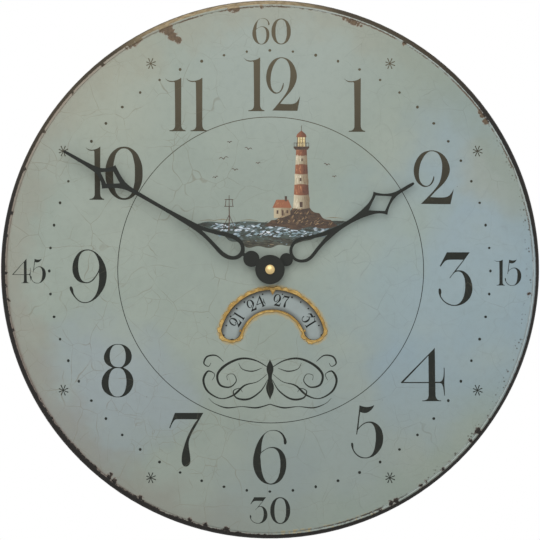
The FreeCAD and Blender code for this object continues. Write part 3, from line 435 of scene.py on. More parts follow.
# Patches of tone over the dial's ground, uneven old paint and, in the blue ones, partly painted sheen: x, z,
# size, share and colour
washes_and_sheen = ((130.0, -10.0, 118.0, 0.62, (142, 164, 177)), (140.0, 62.0, 76.0, 0.42, (146, 164, 174)),
          (58.0, -112.0, 80.0, 0.45, (142, 157, 162)), (-108.0, -80.0, 66.0, 0.6, (151, 163, 173)),
          (-8.0, -160.0, 62.0, 0.5, (142, 154, 156)), (4.0, 150.0, 96.0, 0.45, (164, 174, 169)),
          (-108.0, 122.0, 68.0, 0.5, (168, 171, 155)), (-100.0, 40.0, 60.0, 0.3, (160, 166, 154)),
          (60.0, 20.0, 66.0, 0.3, (150, 164, 156)), (106.0, -120.0, 54.0, 0.4, (154, 162, 150)),
          (108.0, -84.0, 56.0, 0.4, (140, 162, 176)), (156.0, 64.0, 32.0, 0.4, (160, 158, 134)),
          (98.0, 30.0, 34.0, 0.35, (152, 162, 142)), (-40.0, 30.0, 70.0, 0.25, (150, 160, 152)))


def dial_ground(paint, edge):
    """The dial's ground colour: grey-green with olive patches and blue patches that are partly painted sheen,
    other tones along the edge, and painted shade towards the bottom.
    The second answer is the fine noise in it."""
    blotch = paint.noise(46.0, 3.0, 0.55)
    fine = paint.noise(5.0, 4.0, 0.6)
    ground = paint.blend(paint.step(blotch, 0.35, 0.65), (147, 158, 148), (154, 164, 154))
    for x, z, size, share, tone in washes_and_sheen:
        spread = paint.from_point(x, z) + (blotch - 0.5) * 90.0
        ground = paint.blend(paint.fade(spread, size * 0.25, size) * share, ground, tone)
    low_tone = paint.blend(paint.step(paint.x, -90.0, 60.0), (142, 131, 120), (142, 156, 144))
    high_tone = paint.coats((150, 146, 132), (paint.step(paint.x, -170.0, -80.0), (157, 156, 139)),
                            (paint.step(paint.x, 40.0, 140.0), (134, 147, 137)))
    # A blue patch along the right edge, partly painted sheen.
    blue_band = paint.step(paint.x, 110.0, 160.0) * paint.fade((paint.z + 25.0).size(), 35.0, 80.0)
    rim_tone = paint.coats(low_tone, (paint.step(paint.z, -120.0, 60.0), high_tone),
                           (blue_band * 0.85, (140, 161, 174)))
    near_edge = paint.fade(edge + paint.uneven(50.0, 24.0, 3.0, 0.6), 3.0, 30.0)
    # Over the ground go the edge tones, painted shade that darkens it towards the bottom, and a fine mottle.
    ground = paint.coats(ground, (near_edge * 0.5, rim_tone),
                         (paint.fade(paint.z, -175.0, 10.0) * 0.38, (118, 126, 118)),
                         (paint.step(fine, 0.42, 0.72) * 0.1, (122, 128, 120)))
    return ground, fine


def gilt_haze(paint, colour):
    """Gold that has been brushed past the surround onto the paint."""
    reach = paint.from_point(*date_centre)
    beyond = 100.0 * paint.fade((paint.z - date_centre[1]) / reach, 0.27, 0.3)
    near = ((reach - aperture_middle).size() - aperture_half) + beyond
    for side in (-1, 1):
        end = polar(date_centre, aperture_middle, 90.0 + side * aperture_end)
        near = near.under(paint.from_point(*end) - aperture_half)
    haze = paint.fade(near + paint.uneven(3.6, 2.6, 4.0, 0.65), 2.2, 4.2)
    return paint.blend(haze * 0.6, colour, (184, 158, 98))


def bare_places(paint, colour, edge, fine):
    """The paint's worn edge: chips down to the dark board, a thin rusty fringe, the plate's broken seam, and
    painted shade on the right where the rim starts to round over.
    """
    chips, fringe = edge_chips(paint, edge)
    reach = paint.from_point(0.0, 0.0)
    right = paint.step(paint.x / reach, -0.05, 0.3)
    along = paint.noise(2.6, 5.0, 0.72, paint.rimwise(1.3)) - 0.5
    seam = paint.fade((reach - dial_radius + 0.2 + along * 2.6).size() + along * 1.4, 0.3, 0.7)
    seam = seam * right.over(paint.step(paint.z / reach, 0.84, 0.95))
    seam = seam * (1.0 - paint.step((paint.x * 0.9 - paint.z * 0.45) / reach, 0.8, 0.9) * 0.8)
    seam = seam * paint.step(along + paint.uneven(1.3, 16.0), -0.16, 0.0)
    pale = right * paint.fade((reach - dial_radius - 0.2).size(), 0.3, 0.9)
    # Painted shade on the right, greying the lapped paint where the rim's flat begins to round over.
    painted_bevel_shade = right * paint.step(reach, dial_radius + 0.85, dial_radius + paint_overlap)
    height = paint.step(paint.z, -70.0, 150.0)
    left = paint.fade(paint.x / dial_radius, -0.75, -0.2)
    thin = left * paint.fade(edge + (fine - 0.5) * 2.4, 0.1, 3.0)
    yellow = paint.fade((paint.x - 38.0).size() / 44.0, 0.5, 1.0) * paint.fade(edge, 1.8, 3.4)
    yellow = yellow * paint.fade(paint.z, -140.0, -120.0) * paint.step(along, 0.0, 0.12)
    bare = paint.coats(paint.blend(height, (42, 38, 34), (112, 96, 78)),
                       (paint.step(paint.noise(1.6, 3.0, 0.6), 0.4, 0.7) * 0.5, (72, 62, 54)))
    worn = paint.blend(height, (112, 88, 78), (146, 126, 112))
    rust = paint.blend(height, (62, 54, 46), (104, 84, 66))
    colour = paint.coats(colour, (pale * 0.5, (186, 196, 194)), (painted_bevel_shade * 0.5, (96, 98, 94)),
                         (fringe.over(thin) * 0.65, worn), (yellow * 0.8, (178, 158, 108)), (seam * 0.9, rust),
                         (chips, bare))
    return colour, chips


def dial_paint():
    """Hand-painted ground with fine cracks, specks and a chipped edge."""
    paint = Finish("dial_paint")
    reach = paint.from_axis()
    edge = paint_end(paint, reach) - reach
    ground, fine = dial_ground(paint, edge)
    cracks = crack_lines(paint)
    leftward = paint.step(paint.x, 60.0, -60.0)
    speck = paint.fade(paint.cells(17.0) + fine * 1.2, 0.7, 0.95)
    toward = (paint.x * 0.956 - paint.z * 0.292) / reach + paint.fade(edge, 1.0, 10.0) * 0.5
    dots = paint.fade(paint.cells(2.3) + paint.uneven(2.2, 6.0), 0.35, 0.6)
    crack_tone = paint.blend(leftward, (104, 106, 94), (116, 106, 84))
    ground = paint.coats(ground, (cracks * (0.3 + leftward * 0.16), crack_tone), (speck * 0.6, (88, 80, 66)),
                         (dots * paint.step(toward, 1.02, 1.3) * 0.75, (70, 66, 58)))
    colour, chips = bare_places(paint, gilt_haze(paint, ground), edge, fine)
    height = fine * 0.12 + paint.noise(0.7, 2.0) * 0.05 - cracks * 0.3 - chips * 0.8
    return paint.close(colour, 0.55 + fine * 0.1 + chips * 0.2, height=height, height_mm=0.14,
                       Specular_IOR_Level=0.3)


# Places where the paint has come off the edge: x, z and size
chip_places = ((-68.0, 160.0, 3.6), (-65.0, 155.6, 2.9), (-72.0, 160.6, 2.4), (-61.6, 153.4, 2.2),
               (-22.9, 174.6, 2.6), (-26.5, 174.2, 1.8), (-86.7, 153.9, 1.2), (-89.1, 152.5, 1.8),
               (-91.5, 151.1, 1.9), (-93.8, 149.6, 1.3), (-96.2, 148.1, 0.8), (142.2, 103.0, 1.7),
               (144.3, 99.2, 2.0), (140.2, 105.4, 1.3), (90.0, 151.0, 1.3), (49.6, 167.6, 0.9),
               (51.6, 167.0, 1.2), (53.4, 166.2, 1.4), (55.2, 165.4, 1.5), (57.0, 164.6, 1.5),
               (58.8, 163.6, 1.2), (60.8, 162.6, 0.9), (173.4, -16.2, 0.8), (-6.0, 176.0, 1.2),
               (146.5, -100.0, 0.7), (138.9, -107.8, 2.0), (134.0, -114.3, 1.2), (120.6, -129.1, 0.6),
               (115.6, -133.5, 1.0), (104.5, -141.8, 0.9), (101.2, -144.5, 0.9), (84.4, -154.5, 1.5),
               (81.1, -156.2, 1.6), (73.7, -161.2, 1.2), (-29.0, -173.8, 1.9), (-43.2, -170.6, 1.5),
               (-53.7, -167.6, 1.4), (-86.8, -152.8, 1.7), (-104.2, -141.4, 1.8), (-107.6, -138.9, 1.7),
               (-106.2, -136.8, 0.9), (-128.0, -121.4, 1.1), (-145.8, -99.6, 1.2), (-171.0, -48.0, 0.9),
               (-172.7, -40.6, 1.6), (-175.0, -20.4, 0.8), (-176.4, -10.4, 0.8), (-176.4, -2.3, 0.8),
               (-175.7, 22.5, 1.0), (-173.0, 37.9, 1.3), (-163.9, 67.0, 1.1), (-151.6, 92.6, 1.3),
               (-132.3, 118.5, 1.3), (-112.2, 137.0, 1.4))


def edge_chips(paint, edge):
    """Where the paint is off: a ragged line along the edge, deepest low on the left, and single chips.
    The second answer is the thin worn fringe round them."""
    ragged = paint.noise(2.8, 5.0, 0.72, paint.rimwise(1.7)) - 0.5
    fine = paint.noise(1.3, 4.0, 0.7) - 0.5
    long_wave = paint.noise(27.0, 2.0) - 0.5
    low_left = paint.fade((paint.x * 0.5 + paint.z * 0.866) / dial_radius, -0.98, -0.76)
    low = paint.fade(paint.z / dial_radius, -0.75, 0.1)
    left = paint.fade(paint.x / dial_radius, -0.9, -0.6)
    proud = low_left + low * 0.5 + left * 0.4 + long_wave * 2.6 + ragged * 5.4 + fine * 1.8 - 0.95 - edge
    for x, z, size in chip_places:
        proud = proud.over(ragged * 4.4 + fine * 3.8 + size - paint.from_point(x, z))
    return paint.step(proud, -0.1, 0.1), paint.step(proud, -0.75, -0.1)


def crack_lines(paint):
    """Fine age cracks: a wide and a close network and long curved lines, that come and go over the dial."""
    where = paint.step(paint.noise(34.0, 2.0) - (paint.x + paint.z * 0.6) * 0.0005, 0.4, 0.62)
    broken = paint.step(paint.noise(12.0, 3.0, 0.6), 0.4, 0.56)
    wide = paint.cells(27.0, "DISTANCE_TO_EDGE", paint.warped(17.0, 8.0))
    small = paint.cells(10.5, "DISTANCE_TO_EDGE", paint.warped(8.0, 3.5))
    long_lines = paint.fade(wide, 0.04, 0.24) * (0.35 + 0.65 * where) * (0.3 + 0.7 * broken)
    patch = paint.step(paint.noise(21.0, 2.0), 0.47, 0.6)
    short_lines = paint.fade(small, 0.03, 0.19) * patch * (0.25 + 0.75 * where)
    swing = ((paint.noise(105.0, 0.0) * 13.0).rest(1.0) - 0.5).size()
    curves = paint.fade(swing, 0.003, 0.014) * paint.step(paint.noise(26.0, 2.0), 0.5, 0.62)
    return long_lines.over(short_lines * 0.7).over(curves * 0.3)


def brushed_ink(name, low, high, rough=0.5):
    """Flat oil paint for figures and marks: near black low on the dial and browner towards the top."""
    ink = Finish(name)
    streak = ink.noise(3.2, 4.0, 0.65)
    climb = ink.z + ink.uneven(40.0, 30.0)
    cracks = crack_lines(ink)
    colour = ink.coats(low, (ink.step(climb, 0.0, 190.0), high),
                       (ink.step(streak, 0.5, 0.85) * 0.2, (96, 90, 74)), (cracks * 0.2, (122, 120, 104)))
    return ink.close(colour, rough + streak * 0.2, height=streak * 0.4 - cracks * 0.4, height_mm=0.04,
                     Specular_IOR_Level=0.15)


def lacquered_board():
    """Black lacquer on the rounded edge with a painted tan sheen along the top, as if light from above caught
    it; the rear face is bare board.
    """
    board = Finish("lacquered_board")
    reach = board.from_axis()
    upper = (board.z * 0.985 - board.x * 0.174) / reach
    streak = board.noise(5.0, 5.0, 0.65, board.rimwise(7.0))
    fine = board.noise(0.9, 3.0, 0.6)
    painted_top_sheen = board.step(upper + (streak - 0.5) * 0.06, 0.893, 0.99)
    outer = board.fade(board_radius - reach + (streak - 0.5) * 0.6, 0.3, 0.8)
    top_sheen_tone = board.blend(board.step(streak, 0.32, 0.66), (186, 168, 134), (122, 106, 80))
    front = board.step(board.y, -26.0, -28.0)
    nick = board.step(board.noise(2.2, 4.0, 0.7), 0.66, 0.72) * board.step(board.y, -27.0, -29.0)
    over = paint_end(board, reach) - reach
    ground, speckle = dial_ground(board, over)
    ground, chips = bare_places(board, ground, over, speckle)
    lap = board.step(over + board.uneven(1.2, 2.0, 4.0, 0.7, board.rimwise(1.7)), -0.05, 0.25)
    rear = board.step(board.y, board_back - 0.4, board_back - 0.1)
    fibre = board.noise(1.1, 5.0, 0.7)
    overspray = board.step(reach + board.uneven(8.0, 5.0, 4.0, 0.7), 166.0, 176.0)
    bare = board.coats((92, 70, 48), (fibre, (138, 110, 78)),
                       (board.step(board.noise(14.0, 3.0), 0.4, 0.7) * 0.3, (104, 80, 56)),
                       (overspray * 0.9, (44, 40, 36)))
    # The upper front gets painted sheen: a broad brown lift and, near the top, a tan band kept off the
    # outermost edge.
    colour = board.coats(
        (20, 19, 17), (streak, (38, 35, 31)),
        (board.step(upper + (streak - 0.5) * 0.2, 0.35, 0.8) * 0.5 * front, (84, 74, 56)),
        (painted_top_sheen * (1.0 - outer) * front * 0.95, top_sheen_tone), (nick * 0.5, (96, 82, 68)),
        (lap * front * (1.0 - chips), ground), (rear, bare))
    return board.close(colour, 0.46 + fine * 0.1 + rear * 0.3 + painted_top_sheen * 0.1, height=fine * 0.3 + fibre * rear,
                       height_mm=0.09, Specular_IOR_Level=0.22)


def painted_ring():
    """Board ring under matt black paint, with fibre showing in places and scuffed corners."""
    ring = Finish("painted_ring")
    fibre = ring.noise(0.8, 5.0, 0.7)
    streak = ring.noise(12.0, 3.0, 0.6)
    reach = ring.from_axis()
    outer, inner = (ring.fade((reach - radius).size(), 0.3, 1.3) for radius in (160.0, 136.0))
    corner = outer.over(inner) * ring.step(ring.y, -2.2, -0.8)
    scuff = ring.step(ring.noise(7.0, 5.0, 0.7) + corner * 0.25, 0.62, 0.72)
    colour = ring.coats((34, 32, 30), (streak, (50, 47, 43)), (scuff * 0.75, (118, 92, 64)))
    return ring.close(colour, 0.62 + fibre * 0.2, height=fibre, height_mm=0.08)


def blackened_hand():
    """Satin black on pressed steel, a little worn and brown in places."""
    hand = Finish("blackened_hand")
    grain = hand.noise(0.8, 3.0, 0.6)
    cloud = hand.noise(9.0, 3.0, 0.6)
    colour = hand.coats((21, 24, 20), (cloud, (33, 36, 31)),
                        (hand.step(grain * cloud, 0.36, 0.5) * 0.22, (76, 70, 58)))
    return hand.close(colour, 0.42 + grain * 0.16, height=grain, height_mm=0.03, Specular_IOR_Level=0.22)


def bright_metal(name, light, dark, rough=0.32, tarnish=0.25):
    """Metal with fine drawn scratches and a little tarnish."""
    metal = Finish(name)
    drawn = metal.noise(0.5, 3.0, 0.6, metal.moved(stretch=(12.0, 1.0, 1.0)))
    cloud = metal.noise(6.0, 3.0, 0.6)
    colour = metal.coats(dark, (drawn, light), (metal.step(cloud, 0.5, 0.8) * tarnish, dark))
    return metal.close(colour, rough + drawn * 0.14 + cloud * 0.08, 1.0, height=drawn, height_mm=0.012)


def gilding():
    """Old gilt on the calendar surround: dull gold, darker in its low parts, with pale blotches that are partly
    a painted highlight on the raised parts, and painted shade at the aperture's edge.
    """
    gilt = Finish("gilding")
    blotch = gilt.noise(3.6, 4.0, 0.62)
    fine = gilt.noise(0.8, 4.0, 0.65)
    height = gilt.step(gilt.y, dial_front, dial_front - 1.1)
    pit = gilt.fade(gilt.cells(2.1) + fine * 0.6, 0.5, 0.75)
    worn = gilt.fade(height + gilt.uneven(0.5, 2.2, 3.0), 0.08, 0.34)
    aperture_shade = gilt.node("ShaderNodeAttribute", out="Fac", attribute_name="aperture_shade")
    # The pale blotches lean to the raised parts as a painted highlight; the last coat is painted shade along
    # the aperture's edge.
    colour = gilt.coats((124, 94, 46), (height + (blotch - 0.5) * 1.1, (180, 146, 76)),
                        (gilt.step(blotch + (height - 0.5) * 0.25, 0.5, 0.72) * 0.7, (204, 174, 108)),
                        (pit * 0.55, (110, 78, 38)), (worn * 0.35, (150, 136, 96)),
                        (gilt.step(aperture_shade, 0.3, 0.9), (54, 46, 36)))
    return gilt.close(colour, 0.46 + blotch * 0.15, 0.2, height=fine * 0.6 + blotch * 0.4 - pit * 0.4,
                      height_mm=0.1)


def date_card():
    """Blue-grey card of the date disc, with painted shade darkening it towards both edges of its track, under
    the aperture's edges.
    """
    track_middle = 28.3
    card = Finish("date_card")
    grain = card.noise(0.6, 3.0, 0.6)
    cloud = card.noise(7.0, 3.0, 0.6)
    # Painted shade where the aperture's edges shade the track.
    painted_edge_shade = card.step((card.from_point(*date_centre) - track_middle).size() + (cloud - 0.5) * 1.6, 2.6, 6.5)
    colour = card.coats((140, 150, 148), (cloud, (156, 167, 166)), (painted_edge_shade * 0.8, (84, 84, 80)),
                        (card.step(grain, 0.5, 0.8) * 0.12, (120, 124, 124)))
    return card.close(colour, 0.6 + grain * 0.1, height=grain, height_mm=0.02)


def moulded(name, light, dark, rough=0.5, size=0.5, height_mm=0.04):
    """Moulded plastic with a spark-eroded grain and faint flow marks."""
    plastic = Finish(name)
    grain = plastic.noise(size, 3.0, 0.6)
    flow = plastic.noise(18.0, 3.0, 0.5, plastic.moved(stretch=(1.0, 1.0, 3.0)), 0.6)
    return plastic.close(plastic.blend(flow, dark, light), rough + grain * 0.16, height=grain,
                         height_mm=height_mm)


def rubber_black():
    rubber = Finish("rubber_black")
    bloom = rubber.noise(4.0, 4.0, 0.6)
    fine = rubber.noise(0.5, 3.0)
    return rubber.close(rubber.blend(bloom, (34, 34, 34), (58, 57, 55)), 0.75 + fine * 0.15, height=fine,
                        height_mm=0.04)


def battery_jacket():
    """A plain printed cell jacket: dark blue body, a copper-coloured band by the positive end, bare ends."""
    band_foot, jacket_top, jacket_foot = 9.7, 24.1, -25.0
    jacket = Finish("battery_jacket")
    fine = jacket.noise(0.7, 2.0)
    scuff = jacket.step(jacket.noise(5.0, 4.0, 0.7), 0.6, 0.75)
    band = jacket.step(jacket.z, band_foot - 0.1, band_foot + 0.1)
    ring = jacket.fade((jacket.z - band_foot).size(), 0.35, 0.45)
    ends = jacket.step(jacket.z, jacket_top, jacket_top + 0.1).over(
        jacket.fade(jacket.z, jacket_foot - 0.1, jacket_foot))
    colour = jacket.coats((34, 52, 84), (band, (186, 116, 62)), (ring, (210, 208, 200)),
                          (scuff * 0.25, (120, 122, 128)), (ends, (188, 188, 184)))
    return jacket.close(colour, 0.3 + fine * 0.1 + scuff * 0.12, 0.25 + ends * 0.7, height=fine, height_mm=0.01)


def circuit_green():
    """Varnished board with raised tracks."""
    green = Finish("circuit_green")
    tracks = green.step((green.z * 1.6).rest(3.0), 1.9, 2.1)
    return green.close(green.blend(tracks, (26, 84, 50), (52, 116, 72)), 0.35, height=tracks, height_mm=0.03)


def wound_copper():
    """Turns of fine enamelled wire round the coil, with painted shade in the grooves between turns."""
    wire = Finish("wound_copper")
    turns = ((wire.z * 36.0).wave() + 1.0) * 0.5
    return wire.close(wire.blend(turns, (118, 56, 28), (196, 112, 64)), 0.3, 0.8, height=turns, height_mm=0.05)


# Figures, drawn in hundredths of a figure's height from its lower left corner; a third value marks a corner

figures = {
    "1": [[(0, 99.5, 1), (5.1, 95.8), (11.6, 94.2), (18.3, 94.7), (25.5, 96.8), (31.3, 100.2, 1), (31.1, 53.1),
        (31.1, 13.7, 1), (32, 7.2), (34.8, 3.2), (39.4, 1.6, 1), (39.4, 0, 1), (8.8, 0, 1), (8.8, 1.6, 1),
        (15.3, 3), (18.6, 6.7), (19.5, 13.7, 1), (19.3, 53.1), (18.8, 90.7, 1), (17.4, 92.3), (13, 92.1),
        (7, 93.3), (2.3, 96.8)]],
    "2": [[(38.2, 52, 1), (38.2, 46.8), (35.8, 40.5), (31.1, 35.1), (25.3, 32.6), (18.7, 32.3), (12.4, 35.4),
        (6.6, 41), (2.3, 49.4), (0.2, 59.3), (0.9, 70.3), (4.2, 80.3), (9.8, 89.2), (16.9, 95.6), (24.8, 98.8),
        (33.3, 100), (42.2, 98.8), (51.5, 94.4), (59.5, 86.7), (64.6, 77), (67.2, 66.3), (66.5, 58.5),
        (63.2, 49.9), (57.6, 41), (49.9, 32.6), (40.5, 23.7), (30.9, 13.3, 1), (46.4, 12.6), (58.1, 13.1),
        (64.6, 15.2), (69.8, 20.4), (74.5, 28.3, 1), (72.6, 18.7), (70.5, 9.4), (68.4, 0, 1), (41.7, 0.2),
        (13.6, 0.7, 1), (26.5, 13.8), (38.2, 26.5), (46.4, 37.9), (50.1, 47.5), (52.2, 58.5), (52.9, 69.1),
        (52.2, 78.5), (49.6, 86.7), (45.9, 93), (40.7, 96.7), (34.7, 98.4), (28.6, 97.4), (23, 93.4),
        (17.8, 86.4), (13.1, 76.6), (10.5, 65.6), (9.8, 54.6), (11.2, 45.7), (14.5, 39.1), (20.1, 34.9),
        (26.5, 34.7), (31.4, 38.6), (34.9, 45.2), (37, 52, 1)]],
    "3": [[(15.7, 100, 1), (37.1, 100), (58.5, 100, 1), (46.2, 82.9), (33.3, 66, 1), (37.6, 66.4), (44.6, 65.5),
        (51.6, 61.5), (58, 54), (62, 44.1), (63.6, 34), (62.4, 23.9), (58.7, 15.3), (51.6, 7.5), (42.3, 2.1),
        (30.5, 0), (20.4, 1.4), (11.7, 6.3), (4.7, 13.8), (1.2, 21.1), (0, 28.2), (0.9, 31.9), (2.8, 32.4),
        (4.7, 30), (5.4, 25.4), (4.5, 19.7), (7.5, 13.4), (12.7, 8), (19.2, 4.2), (27.5, 1.9), (34.7, 2.6),
        (40.8, 6.6), (45.8, 14.1), (48.8, 24.6), (50, 36.4), (49.3, 47.4), (46.9, 56.1), (43.2, 61.7),
        (37.6, 64.1), (31.9, 62.9), (28.2, 60.1), (21.8, 51.9, 1), (20.2, 51.9, 1), (32.4, 68.1),
        (46.7, 85.9, 1), (35.7, 86.2), (23.9, 86.2, 1), (17.4, 85.7), (12.2, 83.3), (8.2, 78.9), (4.2, 73.2, 1),
        (2.3, 74.4, 1), (8.5, 86.2)]],
    "4": [[(63.5, 100.2, 1), (64, 63.5), (64.2, 36.5, 1), (72.7, 36.5, 1), (76.2, 38.1), (78.8, 43.3),
        (80, 51.8), (80.2, 62.8, 1), (81.6, 62.8, 1), (81.9, 49.4), (81.4, 35.3), (81.9, 23.5), (82.4, 10.4, 1),
        (81.2, 10.4, 1), (79.8, 21.2), (78.1, 29.4), (75.8, 32.9), (71.5, 34.1, 1), (64.5, 33.9, 1),
        (64.9, 10.6, 1), (66.4, 5.6), (69.6, 2.4), (75.5, 1.2, 1), (75.5, 0, 1), (40.2, 0, 1), (40.2, 1.2, 1),
        (47.1, 2.4), (50.6, 5.6), (52, 10.6, 1), (52, 33.9, 1), (26.8, 33.9), (0.5, 33.9, 1), (0, 35.5, 1),
        (31.5, 67.5)], [(51.5, 85.2, 1), (51.8, 61.2), (52, 36, 1), (29.2, 36), (5.2, 36, 1), (28, 60.2)]],
    "5": [[(15.8, 99.8, 1), (22.5, 97.6), (29.6, 96.7), (36.6, 97.6), (43.7, 100.2, 1), (39.7, 93.4),
        (33.8, 87.9), (26.5, 85.3), (20.3, 86.1), (17, 87.2, 1), (15.1, 71.9), (13.7, 57, 1), (18.4, 62.2),
        (25.5, 67.1), (33.6, 69.3), (41.6, 68.3), (49.6, 63.8), (56, 56), (59.6, 44.7), (60, 34), (57.7, 23.4),
        (52, 13.5), (44.4, 5.9), (35.5, 1.4), (25.5, 0), (16.1, 1.9), (8.5, 7.6), (3.3, 15.1), (0.7, 22),
        (0, 26.7), (0.7, 29.1), (2.4, 29.3), (3.8, 27.4), (4.3, 22.9), (4.7, 17.7), (8.5, 10.9), (13.7, 5.9),
        (19.9, 2.8), (26, 1.7), (33.1, 2.8), (39, 7.6), (43, 15.8), (45.4, 27.7), (46.3, 40), (45.4, 51.8),
        (43, 59.8), (39.2, 65), (34, 66.9), (28.4, 66.2), (22.7, 63.4), (17, 58.6), (12.5, 53.2, 1),
        (11.1, 44.7, 1), (9.5, 45.2, 1), (12.3, 68.3), (15.1, 93.1)]],
    "6": [[(57.5, 73.6), (59.5, 73.8), (61.1, 77), (60.5, 82.1), (57.9, 88), (53.3, 94.3), (46.4, 98.6),
        (37.7, 100), (28.5, 98.4), (20.2, 93.3), (12.9, 84.6), (6.7, 72.9), (2.3, 59.1), (0, 44.6), (0.9, 31.5),
        (4.6, 20), (10.6, 10.6), (18.6, 3.7), (26.7, 0.7), (34, 0), (41.8, 1.8), (49.4, 6.7), (55.6, 15.4),
        (59.5, 26.9), (60.5, 38.9), (58.9, 49.9), (54.5, 59.1), (47.4, 65.7), (39.1, 68.7), (31.3, 68.5),
        (23.4, 65.5), (14.9, 59.8, 1), (15.2, 68.7), (16.6, 79.1), (19.3, 88.3), (23.4, 94.5), (29.4, 97.9),
        (35.9, 98.9), (43.2, 97.9), (49.7, 94), (53.8, 88.3), (55.6, 83), (55.9, 77.9)], [(14.3, 56.8),
        (18.9, 61.1), (25.3, 65.3), (32.6, 67.1), (39.5, 65.7), (44.8, 60.7), (48.3, 51.5), (49.7, 40),
        (49.2, 27.8), (47.1, 17.5), (43.2, 9), (37.9, 3.7), (32.2, 1.8), (26.2, 3.7), (21.4, 9), (17.7, 17.7),
        (15.2, 29.2), (14, 43)]],
    "7": [[(10.7, 100, 1), (37.1, 100), (63.6, 100, 1), (57.8, 89.5), (51, 77.4), (44.3, 65.7), (39.2, 55),
        (36.6, 45.7), (36.6, 37.3), (38, 28), (39.4, 16.3), (39.2, 7.5), (36.1, 1.9), (31.2, 0), (26.3, 1.9),
        (23.8, 7), (23.3, 14.9), (24.9, 26.6), (28, 38.2), (31.7, 49.4), (36.1, 59.9), (41.5, 70.4),
        (47.3, 80.2), (53.1, 87.9, 1), (33.6, 88.1), (15.9, 88.1, 1), (11.2, 87.2), (7.5, 82.8), (4.2, 76.9),
        (1.9, 71.1, 1), (0.2, 72, 1), (5.6, 86.2)]],
    "8": [[(31.5, 100), (21.6, 98.6), (13.2, 93.4), (7.3, 85.2), (4.5, 75.5), (6.1, 67.1), (11.1, 60.9),
        (20.2, 55.8, 1), (11.8, 50.8), (4.7, 42.8), (0.7, 32.5), (0.5, 22.4), (4.5, 12.2), (12.2, 5.2),
        (21.6, 1.2), (30.8, 0), (40.7, 1.6), (49.4, 6.8), (56, 15.3), (59.3, 25.6), (59.1, 34.1), (55.8, 43.3),
        (49.6, 50.4), (40.7, 55.8, 1), (48.5, 60.2), (54.1, 66.8), (56.5, 75.1), (55.1, 84.7), (50.1, 92.5),
        (41.9, 98.1)], [(30.4, 98.8), (23.8, 97.4), (18.6, 91.5), (15.8, 82.1), (15.8, 72.5), (18.1, 64.2),
        (22.8, 58.8), (29.9, 56.7), (36.5, 56.9), (41.2, 60.9), (44.2, 68), (45.2, 77.2), (44, 86.8),
        (40.7, 94.4), (36.2, 98.1)], [(29.2, 54.8), (22.4, 52.9), (16.9, 46.4), (14.1, 36.5), (13.2, 26.1),
        (14.6, 15.8), (18.6, 7.5), (24.2, 2.4), (30.4, 1.2), (37.2, 3.1), (42.4, 9.2), (45.4, 18.4),
        (46.6, 28.9), (45.4, 39.5), (42.6, 47.8), (37.4, 53.4)]],
    "9": [[(33.3, 100), (20.9, 96.9), (12.7, 88.7), (7, 77), (5.2, 63.8), (6.6, 54), (11, 45.5), (18.1, 39.4),
        (26.3, 37.1), (34.5, 37.1), (41.8, 40.1), (47.7, 46.2), (51.4, 51.9), (54.7, 57.3, 1), (55.2, 48.6),
        (54.7, 38), (53.1, 27.2), (49.8, 17.4), (44.4, 9.2), (37.8, 3.5), (30.8, 1.4), (23.9, 1.9), (18.1, 4.7),
        (13.4, 8.9), (9.4, 14.6), (7.3, 19.7), (6.6, 24.9), (4.9, 29.1), (2.6, 30.8), (0.5, 29.6), (0.2, 26.3),
        (2.1, 21.1), (5.4, 15.7), (10.1, 9.4), (16, 3.8), (23.2, 0.2), (31.5, -0.2), (40.6, 2.6), (50, 8.7),
        (58.2, 18.1), (64.6, 28.6), (68.3, 40.4), (69.5, 53.3), (67.6, 66.2), (62.4, 78.9), (54.5, 89.7),
        (44.1, 97.4)], [(33.3, 98.1), (25.4, 95.8), (19.5, 88.7), (16.7, 78.2), (16.2, 66.2), (17.6, 55.4),
        (20.7, 46.2), (25.1, 40.8), (31, 38.7), (37.8, 40.1), (44.1, 45.1), (49.5, 52.3), (54, 60.8),
        (55.2, 66.2), (54.5, 75.6), (51.4, 85), (46.2, 93.2), (39.4, 97.4)]],
    "0": [[(69.8, 50), (65.3, 24.3), (52.8, 6.4), (34.9, 0), (17, 6.4), (4.5, 24.3), (0, 50), (4.5, 75.7),
        (17, 93.6), (34.9, 100), (52.8, 93.6), (65.3, 75.7)], [(55.2, 50), (52.8, 24.3), (46.1, 8.7),
        (34.9, 3.3), (23.7, 8.7), (17, 24.3), (14.6, 50), (17, 75.7), (23.7, 91.3), (34.9, 96.7), (46.1, 91.3),
        (52.8, 75.7)]]}

# Where the figures stand: which, left, right, low and high
hour_figures = (("1", -17.6, -3.7, 105.8, 141.7), ("2", -2.6, 20.2, 106.0, 141.8),
                ("1", 49.4, 63.6, 92.0, 127.9), ("2", 96.0, 122.8, 43.6, 79.6),
                ("3", 112.6, 135.3, -24.3, 11.5), ("4", 87.4, 116.9, -88.0, -52.4),
                ("5", 54.2, 75.6, -126.2, -90.7), ("6", -11.3, 11.1, -143.7, -107.3),
                ("7", -67.4, -44.6, -131.7, -95.8), ("8", -112.6, -91.4, -85.4, -49.8),
                ("9", -133.9, -109.1, -22.3, 13.4), ("1", -123.4, -110.8, 46.6, 82.1),
                ("0", -110.0, -85.1, 46.5, 82.1), ("1", -70.3, -56.4, 92.4, 128.1),
                ("1", -56.2, -42.3, 92.4, 128.1))
minute_figures = (("6", -11.8, -0.3, 150.4, 167.9), ("0", 1.0, 13.9, 150.4, 167.7),
                  ("1", 149.8, 157.0, -10.7, 6.6), ("5", 156.9, 167.9, -10.9, 6.6),
                  ("3", -13.5, -1.7, -169.8, -152.2), ("0", 0.2, 13.5, -170.0, -152.2),
                  ("4", -172.2, -159.9, -9.1, 7.2), ("5", -160.0, -149.8, -9.3, 7.1))


def figure_width(name):
    return max(spot[0] for loop in figures[name] for spot in loop)


